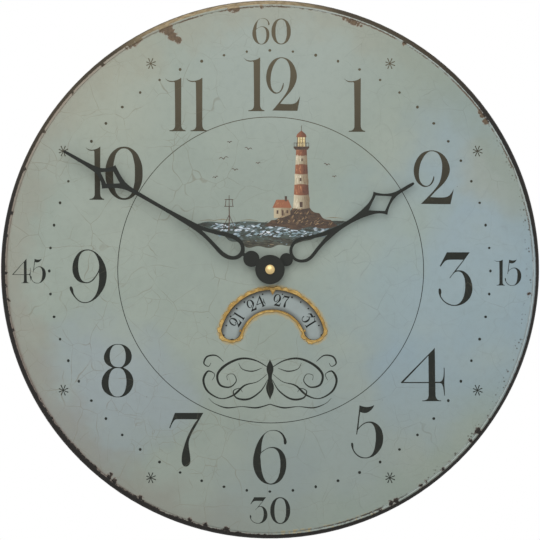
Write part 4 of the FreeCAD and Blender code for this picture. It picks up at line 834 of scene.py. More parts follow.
def figure(name, left, right, low, high, front=ink_front, back=ink_back, weight=0.0):
    """One figure as a slab, fitted to a box on the dial."""
    across = (right - left) / figure_width(name)
    up = (high - low) / 100
    loops = [[(left + spot[0] * across, low + spot[1] * up) + tuple(spot[2:]) for spot in loop]
             for loop in figures[name]]
    return inlay(loops, front, back, weight=weight)


# Marks that repeat round the dial

def ring_points(pattern, count, radius, start=0.0):
    """Points evenly round a circle in the dial's plane, from the top or a start angle, and their angles."""
    line = pattern.node("GeometryNodeMeshLine", {"Count": count, "Offset": (0, 0, 0)}, mode="OFFSET")
    angle = pattern.node("GeometryNodeInputIndex") * (2 * math.pi) / count + start
    shift = pattern.vector(angle.wave() * radius, 0.0, (angle + quarter_turn).wave() * radius)
    return pattern.node("GeometryNodeSetPosition", {"Geometry": line, "Offset": shift}), angle


def ring_of_dots(name, material, count, radius, dot, centre, depth):
    """Small painted dots round a circle, none quite like the next."""
    pattern = Pattern(name, count=count, ring_radius=radius, dot_radius=dot, height=2 * ink_height)
    points, _ = ring_points(pattern, pattern.given("count"), pattern.given("ring_radius"))
    spot = pattern.node("GeometryNodeMeshCylinder", {"Vertices": 14, "Radius": pattern.given("dot_radius"),
                                                     "Depth": pattern.given("height")})
    spot = pattern.moved(spot, turn=(quarter_turn, 0, 0))
    spread = pattern.vector(pattern.chance(0.86, 1.16, 4), 1.2, pattern.chance(0.86, 1.16, 9))
    pattern.end(pattern.on_dial(pattern.on_points(points, spot, Scale=spread), centre, depth), material)
    return grow(pattern, name)


def hour_stars(material):
    """Thin eight-armed stars beside the hours that have no minute figures."""
    pattern = Pattern("hour_stars", stars=12, ring_radius=159.8, arms=8, arm_length=3.5, arm_width=0.67,
                      height=0.08)
    width = pattern.given("arm_width")
    arm = pattern.node("GeometryNodeMeshCone", {"Vertices": 6, "Radius Top": width * 0.55,
                                                "Radius Bottom": width * 0.3,
                                                "Depth": pattern.given("arm_length")})
    arm = pattern.moved(arm, stretch=pattern.vector(1.0, pattern.given("height") / width, 1.0))
    arms, angle = ring_points(pattern, pattern.given("arms"), 0.0)
    length = pattern.chance(0.82, 1.1, 3)
    star = pattern.on_points(arms, arm, Rotation=pattern.vector(0.0, angle + 0.39, 0.0),
                             Scale=pattern.vector(1.0, pattern.chance(1.0, 1.3, 6), length))
    points, _ = ring_points(pattern, pattern.given("stars"), pattern.given("ring_radius"))
    kept = pattern.node("GeometryNodeInputIndex").rest(3.0).under(1.0)
    stars = pattern.on_points(points, star, Selection=kept)
    pattern.end(pattern.on_dial(stars, (0.2, -0.8)), material)
    return grow(pattern, "hour_stars")


def drawn_ring(radius, width, centre):
    """A thin flat ring, as drawn with a ruling pen."""
    inner, outer = radius - width / 2, radius + width / 2
    return spun(((inner, ink_front), (outer, ink_front), (outer, ink_back), (inner, ink_back)), centre, 240)


# Scrollwork on the lower half of the dial: plain penman's flourishes of no meaning. Each line lists its
# points for the right side and its widths along the stroke.

flourish_lines = (
    (((0.0, -66.5), (9.0, -61.0), (19.0, -59.5), (29.0, -63.5), (35.0, -70.0), (33.5, -77.0), (27.0, -78.6),
      (22.6, -74.6), (24.4, -70.0), (28.6, -70.6), (28.4, -74.0)), (0.3, 1.2, 1.7, 1.3, 0.7, 0.35, 0.3)),
    (((2.0, -70.0), (8.5, -75.0), (17.0, -77.5), (24.5, -84.0), (33.0, -86.2), (41.5, -81.5), (44.5, -74.0),
      (41.5, -68.0), (37.0, -70.0), (38.6, -74.0)), (0.25, 0.5, 1.4, 0.6, 1.3, 1.5, 0.5, 0.25)),
    (((5.5, -66.0), (12.0, -68.0), (18.5, -66.5), (21.0, -62.5)), (0.2, 0.8, 0.5, 0.2)),
    (((1.5, -73.5), (6.0, -81.0), (14.0, -86.5), (22.0, -86.0), (24.5, -81.4), (20.5, -79.4), (18.4, -82.0)),
     (0.25, 0.9, 1.3, 0.8, 0.4, 0.25)),
    (((0.0, -90.0), (9.0, -92.4), (19.0, -91.6), (29.0, -92.4), (37.0, -89.6), (41.0, -86.0)),
     (0.5, 1.0, 0.35, 0.9, 0.35, 0.2)),
    (((31.0, -61.5), (36.0, -57.5), (42.0, -58.2), (44.2, -62.6), (41.2, -64.8), (39.4, -62.4)),
     (0.3, 0.9, 1.1, 0.5, 0.25)))
flourish_drop = ((0.0, -60.0, 1), (2.3, -66.0), (1.2, -72.0), (2.6, -79.5), (0.0, -87.0, 1), (-2.6, -79.5),
                 (-1.2, -72.0), (-2.3, -66.0))
flourish_weight = 1.02


def scroll_flourish(material):
    """The same strokes to both sides and a drop between them; each lies a little over the one before."""
    strokes = []
    for number, (points, widths) in enumerate(flourish_lines):
        for side in (1, -1):
            lift = ink_height + 0.004 * (2 * number + (side > 0))
            line = smooth_line([(side * x, z) for x, z in points], 7)
            strokes.append(pen_stroke(line, [flourish_weight * width for width in widths], dial_front - lift,
                                      ink_back))
    strokes.append(inlay([flourish_drop], ink_front - 0.06, ink_back))
    return place_piece(strokes, "scroll_flourish", material)


# Seaside picture: a light tower on a headland, a keeper's house, a beacon post and gulls over a choppy sea.
# It is the builder's own motif. Layers stand a few hundredths of a millimetre over each other, like paint.

layer_height = 0.012


def picture_layer(level):
    return ink_front - layer_height * level


def dab_paint(name, first, second, size=1.4):
    """Oil paint laid on in short dabs of two tones."""
    paint = Finish(name)
    dabs = paint.noise(size, 4.0, 0.6, paint.moved(stretch=(2.6, 1.0, 1.0)))
    colour = paint.blend(paint.step(dabs, 0.36, 0.64), first, second)
    return paint.close(colour, 0.5 + dabs * 0.15, height=dabs, height_mm=0.08)


def sea_paint():
    """Choppy water: dark olive and blue-grey strokes, pale where waves break."""
    water = Finish("sea_paint")
    swept = water.moved(stretch=(2.8, 1.0, 1.0), turn=(0, 0.08, 0))
    swell = water.noise(2.6, 5.0, 0.62, swept, 0.6)
    chop = water.noise(1.3, 4.0, 0.66, swept, 1.2)
    shallow = water.fade(water.z + (swell - 0.5) * 12.0, 17.0, 23.0) * 0.75
    breaks = water.step(water.noise(1.7, 4.0, 0.6, swept, 0.8) + water.uneven(0.5, 9.0, 1.0), 0.56, 0.66)
    breaks = breaks * water.step(water.z, 18.0, 22.0) * water.fade(water.z, 29.5, 31.5)
    colour = water.coats(
        (40, 42, 34), (water.step(swell, 0.36, 0.6), (70, 82, 76)),
        (water.step(chop, 0.55, 0.7) * 0.7, (98, 116, 116)),
        (shallow, water.blend(water.step(chop, 0.42, 0.6), (50, 46, 34), (84, 80, 62))),
        (breaks * 0.4, (140, 158, 166)))
    return water.close(colour, 0.5 + chop * 0.15, height=chop * 0.6 + breaks * 0.4, height_mm=0.12)


def upright_paint(name, lit, dark, centre, half):
    """Paint on an upright form: lit on its left and dark on its right, with upright brush marks."""
    paint = Finish(name)
    marks = paint.noise(1.2, 4.0, 0.6, paint.moved(stretch=(0.35, 1.0, 2.6)))
    across = (paint.x - centre) / half + (marks - 0.5) * 1.3
    colour = paint.blend(paint.step(across, -0.9, 1.0), lit, dark)
    return paint.close(colour, 0.5 + marks * 0.12, height=marks, height_mm=0.06)


sea_outline = (
    (-48.5, 30.4, 1), (-42.0, 32.0), (-30.0, 31.2), (-16.0, 32.2), (0.0, 31.4), (14.0, 32.4), (28.0, 31.6),
    (41.0, 32.6), (51.0, 32.2, 1), (45.0, 29.0), (40.0, 26.4), (33.0, 24.6), (30.0, 21.0), (21.0, 18.6),
    (13.0, 15.8), (6.0, 16.4), (0.0, 14.4), (-8.0, 15.6), (-15.0, 14.6), (-20.0, 18.0), (-27.0, 19.2),
    (-31.0, 22.6), (-37.0, 23.6), (-41.0, 27.0))
rock_outline = (
    (-4.0, 29.0, 1), (1.0, 33.0, 1), (4.5, 33.6), (7.0, 36.4, 1), (12.0, 37.6), (15.0, 41.2, 1), (20.0, 42.4),
    (26.0, 42.0, 1), (29.0, 38.6), (33.0, 37.6, 1), (36.0, 34.0), (40.5, 33.2, 1), (45.0, 29.2, 1),
    (36.0, 27.2), (27.0, 28.6), (18.0, 26.6), (8.0, 28.4))
crag = ((2.0, 31.2), (8.0, 35.0), (14.0, 38.6), (17.0, 41.2), (25.0, 41.0), (30.0, 36.6), (37.0, 32.4),
        (42.0, 30.0), (24.0, 29.6))
tower_x = 21.0
tower_base = 41.0
tower_top = 81.0
tower_low_half = 5.6
tower_high_half = 3.5
tower_bands = ((41.0, 50.0), (50.0, 56.6), (56.6, 64.0), (64.0, 70.0), (70.0, 76.4), (76.4, 81.0))
lantern_foot = 82.2
lantern_top = 88.6
lantern_bars = (-2.6, -1.0, 0.7, 2.6)
gallery_rails = (-4.9, -3.3, -1.6, 0.0, 1.6, 3.3, 4.9)
house_wall_outline = ((2.6, 34.4, 1), (2.6, 41.6, 1), (13.6, 41.6, 1), (13.6, 36.6, 1), (8.0, 34.6, 1))
house_roof_outline = ((1.6, 41.2, 1), (4.2, 46.6, 1), (12.2, 46.6, 1), (14.6, 41.2, 1))
house_shade = ((7.6, 36.0), (13.2, 37.4), (13.2, 41.0), (7.6, 41.0))
roof_light = ((3.0, 41.9), (8.4, 41.9), (9.0, 46.0), (5.0, 46.0))
# Low hills on the horizon: left end, height and length
far_hills = ((-47.0, 32.6, 12.0), (-37.0, 33.0, 11.0), (36.0, 34.2, 13.0), (-20.0, 32.7, 12.0))
# Gulls: x, z, span and tilt in degrees; one gull's wings in half spans
gulls = ((-31.0, 74.0, 6.4, 8), (-23.5, 66.5, 4.6, -6), (-36.5, 61.5, 3.8, 12), (-14.5, 80.5, 5.2, -10),
         (-27.0, 85.0, 3.4, 4), (-8.0, 71.0, 3.2, 6), (38.0, 70.0, 4.2, -8), (43.0, 62.0, 3.0, 6))
wing = ((-1.0, 0.10), (-0.62, 0.34), (-0.3, 0.24), (0.0, -0.06), (0.3, 0.26), (0.66, 0.34), (1.0, 0.06))
beacon_post = ((-27.6, 26.0), (-27.2, 33.0), (-27.3, 42.4))
beacon_struts = (((-31.6, 27.2), (-27.4, 36.4)), ((-23.4, 27.4), (-27.2, 36.4)), ((-30.6, 42.2), (-24.2, 42.2)),
                 ((-30.2, 46.8), (-24.6, 46.8)), ((-29.9, 42.2), (-29.4, 46.8)), ((-27.3, 42.2), (-27.3, 49.6)),
                 ((-24.8, 42.2), (-25.3, 46.8)))


def tower_half(z):
    share = (z - tower_base) / (tower_top - tower_base)
    return tower_low_half + (tower_high_half - tower_low_half) * share ** 0.85


def tower_band(low, high, level):
    sides = [low + (high - low) * step / 5 for step in range(6)]
    loop = [(tower_x + tower_half(z), z, 1) for z in sides] + [(tower_x, high + 0.5)]
    loop += [(tower_x - tower_half(z), z, 1) for z in reversed(sides)] + [(tower_x, low - 0.5)]
    return inlay([loop], picture_layer(level), ink_back)


def box_loop(x, low, half, high):
    return [(x - half, low, 1), (x - half, high, 1), (x + half, high, 1), (x + half, low, 1)]


def layer_piece(loops, name, level, material):
    slabs = [inlay([loop], picture_layer(level), ink_back) for loop in loops]
    place_piece(slabs, name, material)


def picture_line(points, widths, level, steps=None):
    line = smooth_line(points, steps) if steps else points
    return pen_stroke(line, widths, picture_layer(level), ink_back)


def paint_dabs(name, material, loop, count, length, width, level, seed, lean=(-0.5, 0.32), gather=0.0):
    """Short dabs of paint scattered over a flat loop, leaning as told; gather keeps them to patches."""
    pattern = Pattern(name, density=1.0, length=length, width=width, gather=gather, seed=seed)
    patches = pattern.node("ShaderNodeTexNoise", {"Scale": 1 / 9.0, "Detail": 1.0})
    kept = pattern.node("ShaderNodeMapRange", {0: patches, 1: 0.5, 2: 0.57, 3: 1.0 - pattern.given("gather"),
                                               4: 1.0})
    points = pattern.node("GeometryNodeDistributePointsOnFaces",
                          {"Mesh": pattern.given(), "Density": pattern.given("density") * kept,
                           "Seed": pattern.given("seed")}, distribute_method="RANDOM")
    dab = pattern.node("GeometryNodeMeshCylinder", {"Vertices": 9, "Radius": 0.5, "Depth": 1.0})
    dab = pattern.moved(dab, turn=(quarter_turn, 0, 0))
    depth = 2 * ink_height + 2 * layer_height * level
    dab = pattern.moved(dab, stretch=pattern.vector(pattern.given("length"), depth, pattern.given("width")))
    turn = pattern.vector(0.0, pattern.chance(*lean, seed + 1), 0.0)
    spread = pattern.vector(pattern.chance(0.55, 1.4, seed + 2), pattern.chance(1.0, 1.15, seed + 4),
                            pattern.chance(0.5, 1.5, seed + 3))
    pattern.end(pattern.on_dial(pattern.on_points(points, dab, Rotation=turn, Scale=spread)), material)
    base = bpy.data.meshes.new("base")
    base.from_pydata([(spot[0], 0.0, spot[1]) for spot in loop], [], [tuple(range(len(loop)))])
    piece = grow(pattern, name, base, density=count / 1000.0, length=length, width=width, gather=gather,
                 seed=seed)
    place_piece(piece, name)


def shrunk(loop, share):
    cx = sum(spot[0] for spot in loop) / len(loop)
    cz = sum(spot[1] for spot in loop) / len(loop)
    return [(cx + (spot[0] - cx) * share, cz + (spot[1] - cz) * share) for spot in loop]


def seaside_picture():
    foam = dab_paint("sea_foam", (172, 188, 202), (222, 228, 232), 0.9)
    crest = dab_paint("sea_crest", (116, 138, 146), (154, 174, 182), 0.9)
    dark = dab_paint("sea_dark", (30, 32, 26), (50, 50, 38), 1.2)
    sand = dab_paint("sea_sand", (112, 102, 80), (138, 124, 98), 1.0)
    rock = dab_paint("rock_brown", (54, 40, 30), (84, 64, 46), 1.2)
    rock_lit = dab_paint("rock_lit", (116, 92, 64), (150, 126, 94), 0.7)
    rock_dark = dab_paint("rock_dark", (38, 30, 24), (58, 46, 34), 0.8)
    stone = upright_paint("tower_stone", (196, 184, 156), (118, 102, 80), tower_x, tower_low_half)
    rust = upright_paint("tower_rust", (146, 92, 64), (80, 50, 38), tower_x, tower_low_half)
    stone_lit = dab_paint("tower_stone_lit", (206, 196, 170), (222, 212, 188), 0.7)
    stone_dark = dab_paint("tower_stone_dark", (112, 96, 74), (138, 120, 94), 0.7)
    rust_lit = dab_paint("tower_rust_lit", (160, 104, 72), (182, 130, 92), 0.7)
    rust_dark = dab_paint("tower_rust_dark", (70, 42, 32), (98, 60, 44), 0.7)
    ink = dab_paint("picture_line", (62, 46, 38), (88, 68, 54), 0.9)
    glass = dab_paint("lantern_glass", (196, 172, 116), (224, 208, 160), 0.8)
    house = upright_paint("house_wall", (188, 174, 144), (138, 118, 92), 8.0, 6.0)
    upright = (quarter_turn - 0.12, quarter_turn + 0.12)

    layer_piece([sea_outline], "picture_sea", 0, sea_paint())
    upper = ((-40.0, 30.4), (40.0, 30.4), (38.0, 22.0), (-34.0, 22.0))
    wider = shrunk(sea_outline, 0.93)
    for name, material, loop, count, length, width, level, seed, gather in (
            ("sea_troughs", dark, wider, 70, 5.4, 0.6, 1.0, 14, 0.0),
            ("sea_crests", crest, upper, 190, 3.2, 0.8, 1.8, 21, 0.96),
            ("sea_foam", foam, upper, 165, 2.5, 0.9, 2.6, 35, 0.995),
            ("sea_glints", crest, wider, 26, 1.6, 0.42, 3.2, 52, 0.3),
            ("sea_sands", sand, wider, 6, 2.4, 0.4, 3.4, 43, 0.0)):
        paint_dabs(name, material, loop, count, length, width, level, seed, gather=gather)

    layer_piece([rock_outline], "picture_headland", 4, rock)
    paint_dabs("rock_shadows", rock_dark, crag, count=300, length=2.4, width=0.7, level=4.6, seed=61,
               lean=(0.3, 1.2))
    paint_dabs("rock_lights", rock_lit, [(x - 0.8, z + 0.3) for x, z in crag], count=240, length=2.2, width=0.6,
               level=5.2, seed=52, lean=(-1.1, -0.3), gather=0.5)

    for name, material, bands, level in (("tower_stone", stone, tower_bands[::2], 6),
                                         ("tower_bands", rust, tower_bands[1::2], 6.4)):
        place_piece([tower_band(*band, level) for band in bands], name, material)
    for number, (low, high) in enumerate(tower_bands):
        lit, dull = (stone_lit, stone_dark) if number % 2 == 0 else (rust_lit, rust_dark)
        reach = tower_half((low + high) / 2)
        foot, head = low + 0.9, high - 0.9
        for side, material, count, edges in (("left", lit, 420, ((-0.05, head), (-1.0, head), (-1.0, foot),
                                                                 (-0.05, foot))),
                                             ("right", dull, 620, ((0.3, foot), (1.04, foot), (1.04, head),
                                                                   (0.3, head)))):
            paint_dabs("tower_strokes_%d_%s" % (number, side), material,
                       [(tower_x + reach * edge, z) for edge, z in edges], count, length=2.6, width=0.42,
                       level=6.8, seed=70 + number, lean=upright)
    ironwork = [box_loop(tower_x, 81.0, 5.2, 82.2),
                [(tower_x - 4.2, 80.0, 1), (tower_x - 5.0, 81.2, 1), (tower_x + 5.0, 81.2, 1),
                 (tower_x + 4.2, 80.0, 1)]]
    ironwork += [box_loop(tower_x + offset, 82.0, 0.13, 84.6) for offset in gallery_rails]
    ironwork.append(box_loop(tower_x, 84.4, 5.0, 84.7))
    ironwork += [box_loop(tower_x + offset, lantern_foot, 0.2, lantern_top) for offset in lantern_bars]
    dome = [(tower_x - 3.4, 88.4, 1), (tower_x - 2.9, 90.2), (tower_x - 1.2, 91.9), (tower_x, 92.8, 1),
            (tower_x + 1.2, 91.9), (tower_x + 2.9, 90.2), (tower_x + 3.4, 88.4, 1)]
    layer_piece([box_loop(tower_x, lantern_foot, 2.6, lantern_top)], "lantern_panes", 7, glass)
    layer_piece(ironwork, "tower_ironwork", 8, ink)
    layer_piece([dome], "tower_dome", 8.6, rust)
    layer_piece([box_loop(tower_x, 92.4, 0.16, 96.2)], "tower_finial", 8.2, ink)
    layer_piece([box_loop(tower_x - 0.6, 59.0, 0.62, 61.2), box_loop(tower_x + 0.4, 72.4, 0.5, 74.2),
                 box_loop(tower_x - 0.2, 41.6, 1.0, 45.2)], "tower_windows", 9, ink)

    layer_piece([house_wall_outline], "house_wall", 6, house)
    paint_dabs("house_strokes", stone_dark, house_shade, count=360, length=2.2, width=0.4, level=6.3, seed=91,
               lean=upright)
    layer_piece([house_roof_outline], "house_roof", 7, rust)
    paint_dabs("roof_strokes", rust_lit, roof_light, count=420, length=2.4, width=0.4, level=7.2, seed=95,
               lean=(-1.2, -0.9))
    layer_piece([box_loop(10.6, 45.6, 0.8, 49.0), box_loop(5.0, 37.2, 0.6, 39.6),
                 box_loop(8.4, 36.0, 0.7, 39.6), box_loop(11.6, 37.6, 0.6, 39.6)], "house_openings", 7.6, ink)

    lines = []
    for x, z, span, tilt in gulls:
        turn = math.radians(tilt)
        line = [(x + span / 2 * (a * math.cos(turn) - b * math.sin(turn)),
                 z + span / 2 * (a * math.sin(turn) + b * math.cos(turn))) for a, b in wing]
        lines.append(picture_line(line, (0.12, 0.5, 0.36, 0.64, 0.36, 0.5, 0.12), 1, 5))
    lines.append(picture_line(beacon_post, (0.9, 0.7, 0.55), 6, 6))
    lines += [picture_line(strut, (0.44, 0.36), 6.4) for strut in beacon_struts]
    place_piece(lines, "gulls_and_beacon", ink)
    lines = [picture_line(((x, z), (x + length / 2, z + 0.5), (x + length, z - 0.1)), (0.1, 0.5, 0.1), 0, 6)
             for x, z, length in far_hills]
    place_piece(lines, "far_shore", sand)


# Calendar

surround_height = 1.2
surround_back = dial_front + 0.05
# The surround's section from the aperture outwards: share of its width and share of its height
surround_section = ((0.0, 0.1), (0.06, 0.34), (0.15, 0.84), (0.26, 1.0), (0.38, 0.72), (0.52, 0.5), (0.66, 0.6),
                    (0.8, 0.72), (0.91, 0.56), (1.0, 0.12))
# Leaves along each part of the edge: how many, the least width in millimetres and how much a leaf adds
surround_leaves = {"outer": (13, 1.7, 1.9), "end": (4, 1.7, 1.7), "inner": (7, 1.6, 0.9)}


def aperture_path():
    """Spots round the aperture's edge with the direction away from it, and how far round each one is."""
    left, right = 90.0 + aperture_end, 90.0 - aperture_end
    outer, inner = aperture_middle + aperture_half, aperture_middle - aperture_half
    spots = []
    for centre, radius, first, last, count, sign, part in (
            (date_centre, outer, left, right, 168, 1, "outer"),
            (polar(date_centre, aperture_middle, right), aperture_half, right, right - 180.0, 44, 1, "end"),
            (date_centre, inner, right, left, 108, -1, "inner"),
            (polar(date_centre, aperture_middle, left), aperture_half, left + 180.0, left, 44, 1, "end")):
        for step in range(count):
            degrees = first + (last - first) * step / count
            away = math.radians(degrees)
            spots.append((polar(centre, radius, degrees), (sign * math.cos(away), sign * math.sin(away)), part,
                          step / count))
    return spots


def surround_frame():
    """The frame round the aperture: a raised inner bead, a dip, and an uneven leafy outer edge.
    Each point also carries its share of painted shade, strongest at the aperture's edge.
    """
    chance = random.Random(11)
    leaves = {part: count for part, (count, least, most) in surround_leaves.items()}
    sizes = {part: [chance.uniform(0.3, 1.15) for _ in range(count + 1)] for part, count in leaves.items()}
    bounds = {}
    for part, count in leaves.items():
        widths = [chance.uniform(0.45, 1.6) for _ in range(count)]
        bounds[part] = [sum(widths[:number]) / sum(widths) for number in range(count + 1)]
    rows, aperture_shade_values = [], []
    for number, ((x, z), (dx, dz), part, share) in enumerate(aperture_path()):
        count, least, most = surround_leaves[part]
        leaf = max(leaf for leaf in range(count) if bounds[part][leaf] <= share)
        within = (share - bounds[part][leaf]) / (bounds[part][leaf + 1] - bounds[part][leaf])
        bump = abs(math.sin(math.pi * within ** (0.5 + 0.6 * sizes[part][leaf]))) ** 0.8
        bump *= 0.82 + 0.18 * math.sin(number * 1.9)
        reach = least + bump * sizes[part][leaf] * most
        ripple = 0.08 * math.sin(number * 0.83) + 0.06 * math.sin(number * 0.37 + 1.0)
        row = []
        for step, height in surround_section:
            lift = height * (0.9 + ripple * (1 if step > 0.25 else 0.3)) + 0.14 * bump * (0.5 < step < 0.95)
            row.append((x + dx * reach * step, dial_front - surround_height * min(lift, 0.99),
                        z + dz * reach * step))
            # Each point's share of painted shade: full at the aperture's edge, gone a third of the way out.
            aperture_shade_values.append(max(0.0, 1.0 - step / 0.34))
        rows.append(row + [(x + dx * reach, surround_back, z + dz * reach), (x, surround_back, z)])
        aperture_shade_values += [0.0, 1.0]
    mesh = loft(rows, closed=True)
    mesh.attributes.new("aperture_shade", "FLOAT", "POINT").data.foreach_set("value", aperture_shade_values)
    return close_mesh(mesh)


def surround_tooth(first, second, tip, height):
    """A small raised point on the surround, over three spots on the dial."""
    middle = ((first[0] + second[0] + tip[0]) / 3, (first[1] + second[1] + tip[1]) / 3 + 0.3)
    corners = [(x, surround_back, z) for x, z in (first, second, tip)]
    corners += [(x, dial_front - height * share, z)
                for (x, z), share in ((first, 0.55), (second, 0.55), (tip, 0.3), (middle, 1.0))]
    return close_mesh(mesh_of(corners, [(0, 1, 2), (3, 4, 6), (4, 5, 6), (5, 3, 6), (0, 1, 4, 3), (1, 2, 5, 4),
                                        (2, 0, 3, 5)]))


def gilt_surround(material):
    """Cast gilt frame of the aperture with its pointer over the day and a point at each inner end."""
    top = date_centre[1] + aperture_middle + aperture_half
    meshes = [surround_frame(),
              surround_tooth((date_centre[0] - 2.3, top + 1.2), (date_centre[0] + 2.4, top + 1.1),
                             (date_centre[0] + 0.1, top - 3.4), 1.1)]
    for side in (1, -1):
        x, z = polar(date_centre, aperture_middle - aperture_half, 90.0 + side * (aperture_end - 3.0))
        meshes.append(surround_tooth((x - side * 0.5, z + 1.6), (x + side * 0.9, z - 0.5),
                                     (x - side * 1.5, z - 0.2), 0.7))
    piece = place_piece(meshes, "gilt_surround", material, replaces=("calendar_surround",),
                        smooth=True)
    piece.data.set_sharp_from_angle(angle=math.radians(50))


def turned_about(mesh, centre, degrees):
    """Turns a mesh clockwise, as the dial is seen, about a dial point."""
    spot = Vector((centre[0] * mm, 0, (centre[1] - axis_drop) * mm))
    mesh.transform(Matrix.Translation(spot) @ Matrix.Rotation(math.radians(degrees), 4, "Y")
                   @ Matrix.Translation(-spot))
    return mesh


def date_numbers(material):
    """Every third day, tops outwards, and the last day of the month."""
    height, middle, gap, narrowing, day_at_top = 7.7, 28.5, 0.7, 0.9, 26
    low = date_centre[1] + middle - height / 2
    slabs = []
    for day in (3, 6, 9, 12, 15, 18, 21, 24, 27, 31):
        widths = [figure_width(digit) * height / 100 * narrowing for digit in str(day)]
        left = date_centre[0] - (sum(widths) + gap * (len(widths) - 1)) / 2
        for digit, width in zip(str(day), widths):
            slab = figure(digit, left, left + width, low, low + height, date_card_front - ink_height,
                          date_card_front + ink_height, 0.13)
            slabs.append(turned_about(slab, date_centre, (day - day_at_top) * 360 / 31))
            left += width + gap
    place_piece(slabs, "date_numbers", material, body="date")


# Screws, with their cross recesses, and marks on the movement

def carved(mesh, cutters):
    """Cuts some closed meshes out of one."""
    piece = new_object("carved", mesh)
    tools = [new_object("cutter", cutter) for cutter in cutters]
    for tool in tools:
        cut = piece.modifiers.new("cut", "BOOLEAN")
        cut.operation = "DIFFERENCE"
        cut.solver = "EXACT"
        cut.object = tool
    bpy.context.view_layer.update()
    made = grown_mesh(piece)
    for thing in tools + [piece]:
        bpy.data.objects.remove(thing)
    return close_mesh(made)


def screw_mesh(head_radius, head_front, head_back, shank_radius, tip, dome):
    """A cross-recess screw on the hands' axis; its head faces +y."""
    if dome:
        head = [(0.0, head_back), (head_radius * 0.55, head_back - 0.06), (head_radius * 0.86, head_back - 0.5),
                (head_radius, head_back - 1.2), (head_radius, head_front)]
    else:
        head = [(0.0, head_back), (head_radius * 0.95, head_back), (head_radius, head_back - 0.12)]
    shank = [(shank_radius, head_front), (shank_radius, tip + shank_radius), (0.0, tip)]
    long, wide, deep = head_radius * 0.56, head_radius * 0.16, head_radius * 0.5
    corners = ((-1, -1), (1, -1), (1, 1), (-1, 1))
    cutters = []
    for along, over in ((long, wide), (wide, long)):
        rows = [[(sx * along * part, depth, sz * over * part) for sx, sz in corners]
                for depth, part in ((head_back + 0.4, 1.0), (head_back - deep, 0.45))]
        cutters.append(close_mesh(loft(rows)))
    return carved(spun(head + shank, (0.0, 0.0), 32), cutters)


def ring_of_screws(name, mesh, count, radius, material, node, middle=0.0, start=0.0):
    """The same screw at even steps round a circle, each turned a little differently."""
    holder = new_object(name + "_one", mesh)
    pattern = Pattern(name, count=count, ring_radius=radius * mm, seed=5)
    points, _ = ring_points(pattern, pattern.given("count"), pattern.given("ring_radius"), start)
    one = pattern.node("GeometryNodeObjectInfo", {"Object": holder}, "Geometry")
    one = pattern.moved(one, (0, 0, axis_drop * mm))
    turn = pattern.vector(0.0, pattern.chance(0.0, 1.5, pattern.given("seed")), 0.0)
    screws = pattern.on_points(points, one, Rotation=turn)
    pattern.end(pattern.moved(screws, (0, 0, (middle - axis_drop) * mm)), material)
    piece = grow(pattern, name)
    bpy.data.objects.remove(holder)
    place_piece(piece, name, replaces=(node,))


def cover_marks(material):
    """Moulded marks on the rear of the movement: the cell's plus and minus, a setting arrow and two ribs."""
    knob_place, arrow_radius = (-3.33, 18.91), 8.0
    near, far = -4.15, -3.86
    bars = (box_loop(-9.0, 18.65, 1.5, 19.35), box_loop(-9.0, 17.5, 0.35, 20.5),
            box_loop(-9.0, -19.35, 1.5, -18.65))
    slabs = [inlay([bar], near, far) for bar in bars]
    arc = [polar(knob_place, arrow_radius, degrees) for degrees in range(-62, 48, 8)]
    slabs.append(pen_stroke(arc, (0.7, 0.7), near, far))
    head = [polar(knob_place, *spot) + (1,) for spot in ((arrow_radius, 60.0), (6.7, 42.0), (9.3, 42.0))]
    slabs.append(inlay([head], near, far))
    slabs += [inlay([box_loop(8.5, z - 0.4, 13.0, z + 0.4)], near, far) for z in (-8.0, -11.0)]
    place_piece(slabs, "cover_marks", material)


# Light, camera and finishes

def pale_floor():
    """Matt white, glowing white to the camera away from the clock, and not there from below."""
    ground = Finish("pale_floor")
    far = ground.node("ShaderNodeVectorMath", {0: ground.place}, "Value", operation="LENGTH")
    away = ground.step(far, 260.0, 720.0) * 0.6 + 0.4
    matt = ground.node("ShaderNodeBsdfDiffuse", {"Color": (0.86, 0.86, 0.86, 1)})
    glow = ground.node("ShaderNodeEmission", {"Color": (1, 1, 1, 1), "Strength": 1.0})
    mixed = ground.node("ShaderNodeMixShader", {0: away * seen_directly(ground), 1: matt, 2: glow})
    below = ground.node("ShaderNodeNewGeometry", out="Backfacing")
    clear = ground.node("ShaderNodeBsdfTransparent")
    mixed = ground.node("ShaderNodeMixShader", {0: below, 1: mixed, 2: clear})
    end = ground.nodes.new("ShaderNodeOutputMaterial")
    ground.links.new(mixed.end, end.inputs["Surface"])
    return ground.material


def seen_directly(tree):
    """One for rays from the camera and from mirrors, else nought."""
    path = tree.nodes.new("ShaderNodeLightPath")
    return Socket(tree, path.outputs["Is Camera Ray"]).over(Socket(tree, path.outputs["Is Glossy Ray"]))


